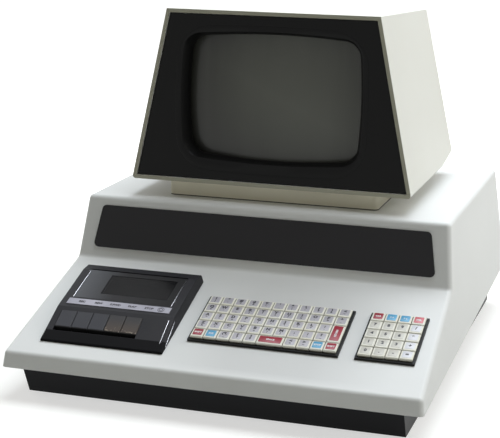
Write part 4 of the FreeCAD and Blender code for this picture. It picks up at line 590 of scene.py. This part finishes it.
class Form:
    """A mesh grown from prisms, bars, rings and words in the axes of one plane."""

    def __init__(self, name, plane, finishes):
        self.name = name
        self.plane = plane
        self.finishes = finishes
        self.bm = bmesh.new()

    def number(self, finish):
        """Place of a finish among the form's own."""
        return self.finishes.index(finish)

    def prism(self, points, low, high, finish, bevel):
        """An outline drawn out from low to high, its upper edge rounded by bevel."""
        bottom = [self.bm.verts.new((x, y, low)) for x, y in points]
        top = [self.bm.verts.new((x, y, high)) for x, y in points]
        faces = [self.bm.faces.new(list(reversed(bottom))), self.bm.faces.new(top)]
        for n in range(len(points)):
            after = (n + 1) % len(points)
            faces.append(self.bm.faces.new((bottom[n], bottom[after], top[after], top[n])))
        for face in faces:
            face.material_index = self.number(finish)
        edges = list(faces[1].edges)
        made = bmesh.ops.bevel(
            self.bm, geom=edges, offset=bevel, segments=2, profile=0.5, affect="EDGES"
        )
        for face in made["faces"]:
            face.material_index = self.number(finish)

    def bar(self, start, end, radius, finish, sides=8):
        """A round bar with domed ends between two points."""
        start, end = Vector(start), Vector(end)
        axis = (end - start).normalized()
        across = axis.orthogonal().normalized()
        other = axis.cross(across)
        stations = [(start + axis * radius * a, radius * b) for a, b in DOME_RINGS]
        stations += [(end - axis * radius * a, radius * b) for a, b in reversed(DOME_RINGS)]
        turns = [2 * math.pi * k / sides for k in range(sides)]
        spokes = [across * math.cos(turn) + other * math.sin(turn) for turn in turns]
        rings = []
        for centre, size in stations:
            rings.append([self.bm.verts.new(centre + spoke * size) for spoke in spokes])
        faces = [self.bm.faces.new(list(reversed(rings[0]))), self.bm.faces.new(rings[-1])]
        for near, far in zip(rings, rings[1:]):
            for n in range(sides):
                after = (n + 1) % sides
                faces.append(self.bm.faces.new((near[n], near[after], far[after], far[n])))
        for face in faces:
            face.material_index = self.number(finish)

    def ring(self, loops, finish):
        """A closed band through loops of as many points each, the last joined to the first."""
        rings = [[self.bm.verts.new(point) for point in loop] for loop in loops]
        for near, far in zip(rings, rings[1:] + rings[:1]):
            for n in range(len(near)):
                after = (n + 1) % len(near)
                face = self.bm.faces.new((near[n], near[after], far[after], far[n]))
                face.material_index = self.number(finish)

    def words(self, text, centre, height, size, finish, turn=0.0):
        """Printed characters, middle at centre, their face at height."""
        curve = bpy.data.curves.new("words", "FONT")
        curve.body = text
        curve.size = size
        curve.align_x = "CENTER"
        curve.align_y = "CENTER"
        curve.extrude = PRINT_DEPTH / 2
        curve.offset = size * PRINT_WEIGHT
        curve.resolution_u = 2
        holder = bpy.data.objects.new("words", curve)
        bpy.context.scene.collection.objects.link(holder)
        bpy.context.view_layer.update()
        mesh = bpy.data.meshes.new_from_object(holder)
        middle = Matrix.Translation((*centre, height - PRINT_DEPTH / 2))
        place = middle @ Matrix.Rotation(turn, 4, "Z")
        mesh.transform(place)
        mesh.polygons.foreach_set("material_index", [self.number(finish)] * len(mesh.polygons))
        self.bm.from_mesh(mesh)
        bpy.data.objects.remove(holder)
        bpy.data.meshes.remove(mesh)
        bpy.data.curves.remove(curve)

    def place(self, body):
        """Turn the form into a piece of the machine that moves with a body."""
        bmesh.ops.recalc_face_normals(self.bm, faces=self.bm.faces)
        self.bm.transform(self.plane)
        limit = math.radians(SMOOTH_LIMIT)
        for edge in self.bm.edges:
            edge.smooth = len(edge.link_faces) == 2 and edge.calc_face_angle(0.0) < limit
        for face in self.bm.faces:
            face.smooth = True
        mesh = bpy.data.meshes.new(self.name)
        self.bm.to_mesh(mesh)
        self.bm.free()
        for finish in self.finishes:
            mesh.materials.append(PAINT[finish].material)
        piece = bpy.data.objects.new(self.name, mesh)
        bpy.context.scene.collection.objects.link(piece)
        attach(piece, body)


PLATE_INSET = 1.8 * MM
PLATE_BACK_INSET = 1.2 * MM
PLATE_FRONT_INSET = 2.3 * MM
PLATE_PROUD = 0.14 * MM
PLATE_SINK = 0.1 * MM
PLATE_CORNER = 0.9 * MM
PLATE_CORNER_STEPS = 3
LETTER_SIZE = 5.2 * MM
SIGN_SIZE = 3.4 * MM
WORD_SIZE = 2.9 * MM
LETTER_RISE = 1.7 * MM
SIGN_DROP = 2.1 * MM

KEYBOARD_LEGENDS = {
    "keycaps_row_1": "!\"#$%'&\\()<",
    "keycaps_row_2": "QWERTYUIOP^",
    "keycaps_row_3": "ASDFGHJKL:",
    "keycaps_row_4": "ZXCVBNM,;?",
    "keycaps_row_5": "  @[]  <>",
}
KEYBOARD_SIGNS = {
    "keycaps_row_1": "|-+=~_|-+=~",
    "keycaps_row_2": "o-_|'+/x.=_",
    "keycaps_row_3": "^vo_|-\\/+-",
    "keycaps_row_4": "x+-=o/|.-_",
    "keycaps_row_5": "  _-+  =~",
}
NUMPAD_LEGENDS = {
    "numpad_row_2": "789/",
    "numpad_row_3": "456*",
    "numpad_row_4": "123+",
    "numpad_row_5": "0.-=",
}
NUMPAD_WORDS = ("CLR", "< >", "^ v", "DEL")
NUMPAD_TOP = ("red", "blue", "blue", "pink")
SINGLE_LEGENDS = {
    "shift_key_left": ("SHIFT", "red", 0.0),
    "blue_key_left": ("RVS", "blue", 0.0),
    "space_key": ("SPACE", "red", 0.0),
    "blue_key_right": ("STOP", "blue", 0.0),
    "shift_key_right": ("SHIFT", "red", 0.0),
    "return_key": ("RETURN", "red", math.pi / 2),
}
DARK_ROWS = ("keycaps_row_1", "keycaps_row_2")
KEY_FINISHES = ["lavender", "dusk", "bone", "pale", "red", "pink", "blue", "ink", "white_ink"]


def plate(form, low, high, finish):
    """The printed plate let in to a key's top, between two corners of the key."""
    width = high[0] - low[0] - 2 * PLATE_INSET
    front, back = low[1] + PLATE_FRONT_INSET, high[1] - PLATE_BACK_INSET
    length = back - front
    centre = ((low[0] + high[0]) / 2, (front + back) / 2)
    points = rounded_outline(width, length, PLATE_CORNER, PLATE_CORNER_STEPS, centre)
    form.prism(points, high[2] - PLATE_SINK, high[2] + PLATE_PROUD, finish, PLATE_PROUD / 2)
    return centre, high[2] + PLATE_PROUD + PLATE_PROUD / 2


def dress_row(node, first_x, legends, signs, finishes, ink, size=LETTER_SIZE):
    """Plates and characters for every key of one row."""
    low, high = plane_box(node)
    form = Form(f"{node}_print", DECK, KEY_FINISHES)
    for column, text in enumerate(legends):
        if text == " ":
            continue
        left = first_x + KEY_PITCH * column
        right = left + KEY_PITCH - 2 * KEY_TOP_INSET
        finish = finishes[column]
        centre, top = plate(form, (left, low.y, low.z), (right, high.y, high.z), finish)
        up = LETTER_RISE if signs else 0.0
        form.words(text, (centre[0], centre[1] + up), top, size, ink)
        if signs:
            form.words(signs[column], (centre[0], centre[1] - SIGN_DROP), top, SIGN_SIZE, ink)
    form.place(f"{node}_caps")


def dress_keys():
    """Plates and characters for the keyboard, the number pad and the single keys."""
    first = plane_box("keycaps_row_1")[0].x
    for node, legends in KEYBOARD_LEGENDS.items():
        finishes = ["dusk" if node in DARK_ROWS else "lavender"] * KEYBOARD_COLUMNS
        dress_row(node, first, legends, KEYBOARD_SIGNS[node], finishes, "ink")
    first = plane_box("numpad_row_2")[0].x
    for node, legends in NUMPAD_LEGENDS.items():
        finishes = ["bone"] * (NUMPAD_COLUMNS - 1) + ["pale"]
        dress_row(node, first, legends, None, finishes, "ink")
    dress_row("numpad_row_1", first, NUMPAD_WORDS, None, NUMPAD_TOP, "white_ink", WORD_SIZE)
    for node, (word, finish, turn) in SINGLE_LEGENDS.items():
        low, high = plane_box(node)
        form = Form(f"{node}_print", DECK, KEY_FINISHES)
        centre, top = plate(form, low, high, finish)
        form.words(word, centre, top, WORD_SIZE, "white_ink", turn)
        form.place(f"{node}_cap")


# Screen mask
FACE_PLACE = (0.0, -45.1 * MM, 200.0 * MM)
FACE_TILT = 87.137
MASK_MIDDLE = 74.1 * MM
MASK_RAISE = 2.6 * MM
# Half width, half height, corner, bulge of the sides and of the ends, in millimetres, then 1 where the
# loop's middle is raised, and its height off the face, again in millimetres
MASK_LOOPS = (
    (100.5, 73.5, 32.5, 3.0, 3.0, 0.0, -0.4),
    (100.5, 73.5, 32.5, 3.0, 3.0, 0.0, 0.1),
    (99.9, 72.9, 31.9, 3.0, 3.0, 0.0, 0.3),
    (94.6, 63.6, 16.5, 3.5, 4.7, 1.0, 0.3),
    (93.9, 62.9, 16.0, 3.5, 4.7, 1.0, -0.3),
    (90.1, 60.9, 14.0, 3.4, 4.7, 1.0, -11.2),
    (89.5, 60.4, 14.0, 3.4, 4.7, 1.0, -12.6),
    (89.5, 60.4, 14.0, 3.4, 4.7, 1.0, -19.0),
    (91.0, 61.9, 15.0, 3.4, 4.7, 1.0, -19.0),
)


def bulged_outline(half_width, half_height, corner, side_bulge, end_bulge, middle, steps=6, parts=8):
    """A rectangle with round corners whose four sides swell outwards."""
    corners = rounded_outline(2 * half_width, 2 * half_height, corner, steps)
    points = []
    for n, start in enumerate(corners):
        after = corners[(n + 1) % len(corners)]
        count = parts if n % (steps + 1) == steps else 1
        for k in range(count):
            x = start[0] + (after[0] - start[0]) * k / count
            y = start[1] + (after[1] - start[1]) * k / count
            swell_x = 1 + side_bulge / half_width * (1 - (y / half_height) ** 2)
            swell_y = 1 + end_bulge / half_height * (1 - (x / half_width) ** 2)
            points.append((x * swell_x, middle + y * swell_y))
    return points


def dress_mask():
    """The black mask that frames the tube more closely than the bezel's own opening."""
    form = Form("screen_mask", tilted_plane(FACE_PLACE, FACE_TILT), ["bezel"])
    loops = []
    for *sizes, rise, height in MASK_LOOPS:
        middle = MASK_MIDDLE + rise * MASK_RAISE
        outline = bulged_outline(*(size * MM for size in sizes), middle)
        loops.append([(x, y, height * MM) for x, y in outline])
    form.ring(loops, "bezel")
    form.place("bonnet")


# Cassette unit
STRIP_WORDS = ("REC", "REW", "F.FWD", "PLAY", "STOP")
STRIP_WORD_SIZE = 3.8 * MM
STRIP_MARGIN = 10 * MM
WORD_PLACE_SHARE = 0.3
RING_RADII = (3.2 * MM, 1.8 * MM)
RING_DASHES = 14
DASH_SHARE = 0.55
DASH_SIDES = 6
PIN_REACH = 2.6 * MM
LID_ROLL = 5.0 * MM
LEFT_LINE = 0.3 * MM
RIGHT_LINE = 0.24 * MM
RIDGE_S, RIDGE_N = 64.0 * MM, 12.0 * MM
BROW_S, BROW_N = 21.8 * MM, 2.7 * MM
APRON_S = 31.0 * MM
FLANK_TOP = (-51.25 * MM, 62.0 * MM, 8.0 * MM)
FLANK_INSET = 4.5 * MM
FLANK_FOOT = (-50.12 * MM, 31.0 * MM, 1.2 * MM)
TRIM_STAND = 0.1 * MM


def dress_strip():
    """Words over the levers and a ring of dashes at the strip's right end."""
    low, high = plane_box("label_strip")
    form = Form("strip_print", DECK, ["ink"])
    middle = (low.y + high.y) / 2
    step = (high.x - low.x - 2 * STRIP_MARGIN) / len(STRIP_WORDS)
    for n, word in enumerate(STRIP_WORDS):
        centre = (low.x + STRIP_MARGIN + step * (n + WORD_PLACE_SHARE), middle)
        form.words(word, centre, high.z + TRIM_STAND, STRIP_WORD_SIZE, "ink")
    ring_x = high.x - STRIP_MARGIN
    for radius in RING_RADII:
        for n in range(RING_DASHES):
            turn = 2 * math.pi * n / RING_DASHES
            after = 2 * math.pi * (n + DASH_SHARE) / RING_DASHES
            start = (ring_x + radius * math.cos(turn), middle + radius * math.sin(turn), high.z)
            end = (ring_x + radius * math.cos(after), middle + radius * math.sin(after), high.z)
            form.bar(start, end, 3 * TRIM_STAND, "ink", DASH_SIDES)
    form.place("bonnet")


def dress_lid():
    """Painted highlights: bright lines along the lid's two sides."""
    low, high = plane_box("cassette_lid")
    form = Form("lid_painted_highlights", DECK, ["bright"])
    left = low.x + PIN_REACH + LEFT_LINE
    right = high.x - PIN_REACH - RIGHT_LINE
    for x, radius in ((left, LEFT_LINE), (right, RIGHT_LINE)):
        form.bar((x, low.y + radius, high.z), (x, high.y - LID_ROLL, high.z), radius, "bright")
    form.place("lid")


def slope_height(s):
    """Height of the housing's front slope above the deck at a place along it."""
    return BROW_N + (RIDGE_N - BROW_N) * (s - BROW_S) / (RIDGE_S - BROW_S)


def dress_flank():
    """Painted highlights along the edges where the housing's slope meets its right flank."""
    form = Form("housing_painted_highlights", DECK, ["bright"])
    inner = FLANK_TOP[0] - FLANK_INSET
    ends = [(inner, s, slope_height(s)) for s in (RIDGE_S - FLANK_INSET, APRON_S)]
    form.bar(*ends, RIGHT_LINE, "bright")
    form.bar(FLANK_TOP, FLANK_FOOT, RIGHT_LINE, "bright")
    form.place("bonnet")


# Studio
COOL_LIGHT = (0.875, 0.94, 1.0)
WARM_LIGHT = (1.0, 0.97, 0.9)
LAMP_TARGET = (0.0, 0.0, 0.15)
# Place, size, power and colour of each lamp
LAMPS = {
    "top_light": ((0.25, 0.5, 2.1), (1.8, 1.4), 48.5, COOL_LIGHT),
    "right_light": ((2.0, 0.4, 1.6), (1.4, 1.4), 16.5, WARM_LIGHT),
    "left_light": ((-2.2, 0.7, 1.0), (1.2, 1.2), 7.0, WARM_LIGHT),
}
WORLD_LIGHT = (0.172, 0.168, 0.142)
WHITE = (1.0, 1.0, 1.0)
FLOOR_SIZE = 6.0
FLOOR_DROP = 0.5 * MM
FLOOR_ROUGHNESS = 0.9
FLOOR_SHADE = (0.55, 0.55, 0.53)
FLOOR_FADE = (0.35, 0.9)
FLOOR_GLOW = (0.6, 1.0)


def soft_lamp(name, place, size, power, colour):
    """A rectangular lamp that faces the machine."""
    data = bpy.data.lights.new(name, "AREA")
    data.shape = "RECTANGLE"
    data.size, data.size_y = size
    data.energy = power
    data.color = colour
    lamp = bpy.data.objects.new(name, data)
    lamp.location = place
    lamp.rotation_mode = "QUATERNION"
    lamp.rotation_quaternion = (Vector(place) - Vector(LAMP_TARGET)).to_track_quat("Z", "Y")
    bpy.context.scene.collection.objects.link(lamp)


def seen_rays(nodes, links):
    """One for camera, glossy and transmission rays, zero for the light that falls on things."""
    path = nodes.new("ShaderNodeLightPath")
    seen = path.outputs["Is Camera Ray"]
    for name in ("Is Glossy Ray", "Is Transmission Ray"):
        node = nodes.new("ShaderNodeMath")
        node.operation = "MAXIMUM"
        links.new(seen, node.inputs[0])
        links.new(path.outputs[name], node.inputs[1])
        seen = node.outputs[0]
    return seen


def make_world():
    """A dim even light from all round, with white behind the machine."""
    world = bpy.data.worlds.new("studio")
    bpy.context.scene.world = world
    world.use_nodes = True
    nodes, links = world.node_tree.nodes, world.node_tree.links
    shown = nodes.new("ShaderNodeBackground")
    shown.inputs["Color"].default_value = (*WHITE, 1.0)
    lit = nodes["Background"]
    lit.inputs["Color"].default_value = (*WORLD_LIGHT, 1.0)
    mix = nodes.new("ShaderNodeMixShader")
    links.new(seen_rays(nodes, links), mix.inputs["Fac"])
    links.new(lit.outputs[0], mix.inputs[1])
    links.new(shown.outputs[0], mix.inputs[2])
    links.new(mix.outputs[0], nodes["World Output"].inputs["Surface"])


def make_floor():
    """A pale floor that keeps the soft shadow and turns white between two distances."""
    mesh = bpy.data.meshes.new("floor")
    signs = ((-1, -1), (1, -1), (1, 1), (-1, 1))
    corners = [(a * FLOOR_SIZE, b * FLOOR_SIZE, -FLOOR_DROP) for a, b in signs]
    mesh.from_pydata(corners, [], [(0, 1, 2, 3)])
    floor = bpy.data.objects.new("floor", mesh)
    bpy.context.scene.collection.objects.link(floor)
    material = bpy.data.materials.new("floor")
    material.use_nodes = True
    nodes, links = material.node_tree.nodes, material.node_tree.links
    shader = nodes["Principled BSDF"]
    shader.inputs["Base Color"].default_value = (*FLOOR_SHADE, 1.0)
    shader.inputs["Roughness"].default_value = FLOOR_ROUGHNESS
    shader.inputs["Specular IOR Level"].default_value = 0.0
    shader.inputs["Emission Color"].default_value = (*WHITE, 1.0)
    place = nodes.new("ShaderNodeTexCoord").outputs["Object"]
    reach = nodes.new("ShaderNodeVectorMath")
    reach.operation = "LENGTH"
    links.new(place, reach.inputs[0])
    rise = nodes.new("ShaderNodeMapRange")
    links.new(reach.outputs["Value"], rise.inputs["Value"])
    for socket, value in zip(("From Min", "From Max", "To Min", "To Max"), FLOOR_FADE + FLOOR_GLOW):
        rise.inputs[socket].default_value = value
    strength = nodes.new("ShaderNodeMath")
    strength.operation = "MULTIPLY"
    links.new(seen_rays(nodes, links), strength.inputs[0])
    links.new(rise.outputs[0], strength.inputs[1])
    links.new(strength.outputs[0], shader.inputs["Emission Strength"])
    mesh.materials.append(material)


def make_camera():
    """The photograph's camera, whose axis lies off the middle of the frame."""
    yaw, pitch, roll = (math.radians(a) for a in (CAMERA_YAW, CAMERA_PITCH, CAMERA_ROLL))
    ahead = Vector(
        (-math.sin(yaw) * math.cos(pitch), math.cos(yaw) * math.cos(pitch), -math.sin(pitch))
    )
    right = Vector((math.cos(yaw), math.sin(yaw), 0.0))
    up = right.cross(ahead)
    across = right * math.cos(roll) + up * math.sin(roll)
    above = up * math.cos(roll) - right * math.sin(roll)
    data = bpy.data.cameras.new("camera")
    data.sensor_width = SENSOR
    data.lens = FOCAL_PIXELS * SENSOR / PICTURE_WIDTH
    data.shift_x = (PICTURE_WIDTH / 2 - AXIS_PIXEL[0]) / PICTURE_WIDTH
    data.shift_y = (AXIS_PIXEL[1] - PICTURE_HEIGHT / 2) / PICTURE_WIDTH
    data.clip_start, data.clip_end = CLIP_RANGE
    camera = bpy.data.objects.new("camera", data)
    axes = Matrix((across, above, -ahead)).transposed().to_4x4()
    camera.matrix_world = Matrix.Translation(CAMERA_PLACE) @ axes
    bpy.context.scene.collection.objects.link(camera)
    bpy.context.scene.camera = camera


make_camera()
paint_nodes()
dress_keys()
dress_strip()
dress_lid()
dress_flank()
dress_mask()
make_floor()
make_world()
for lamp_name, lamp_sizes in LAMPS.items():
    soft_lamp(lamp_name, *lamp_sizes)
bpy.context.scene.view_settings.view_transform = "Standard"
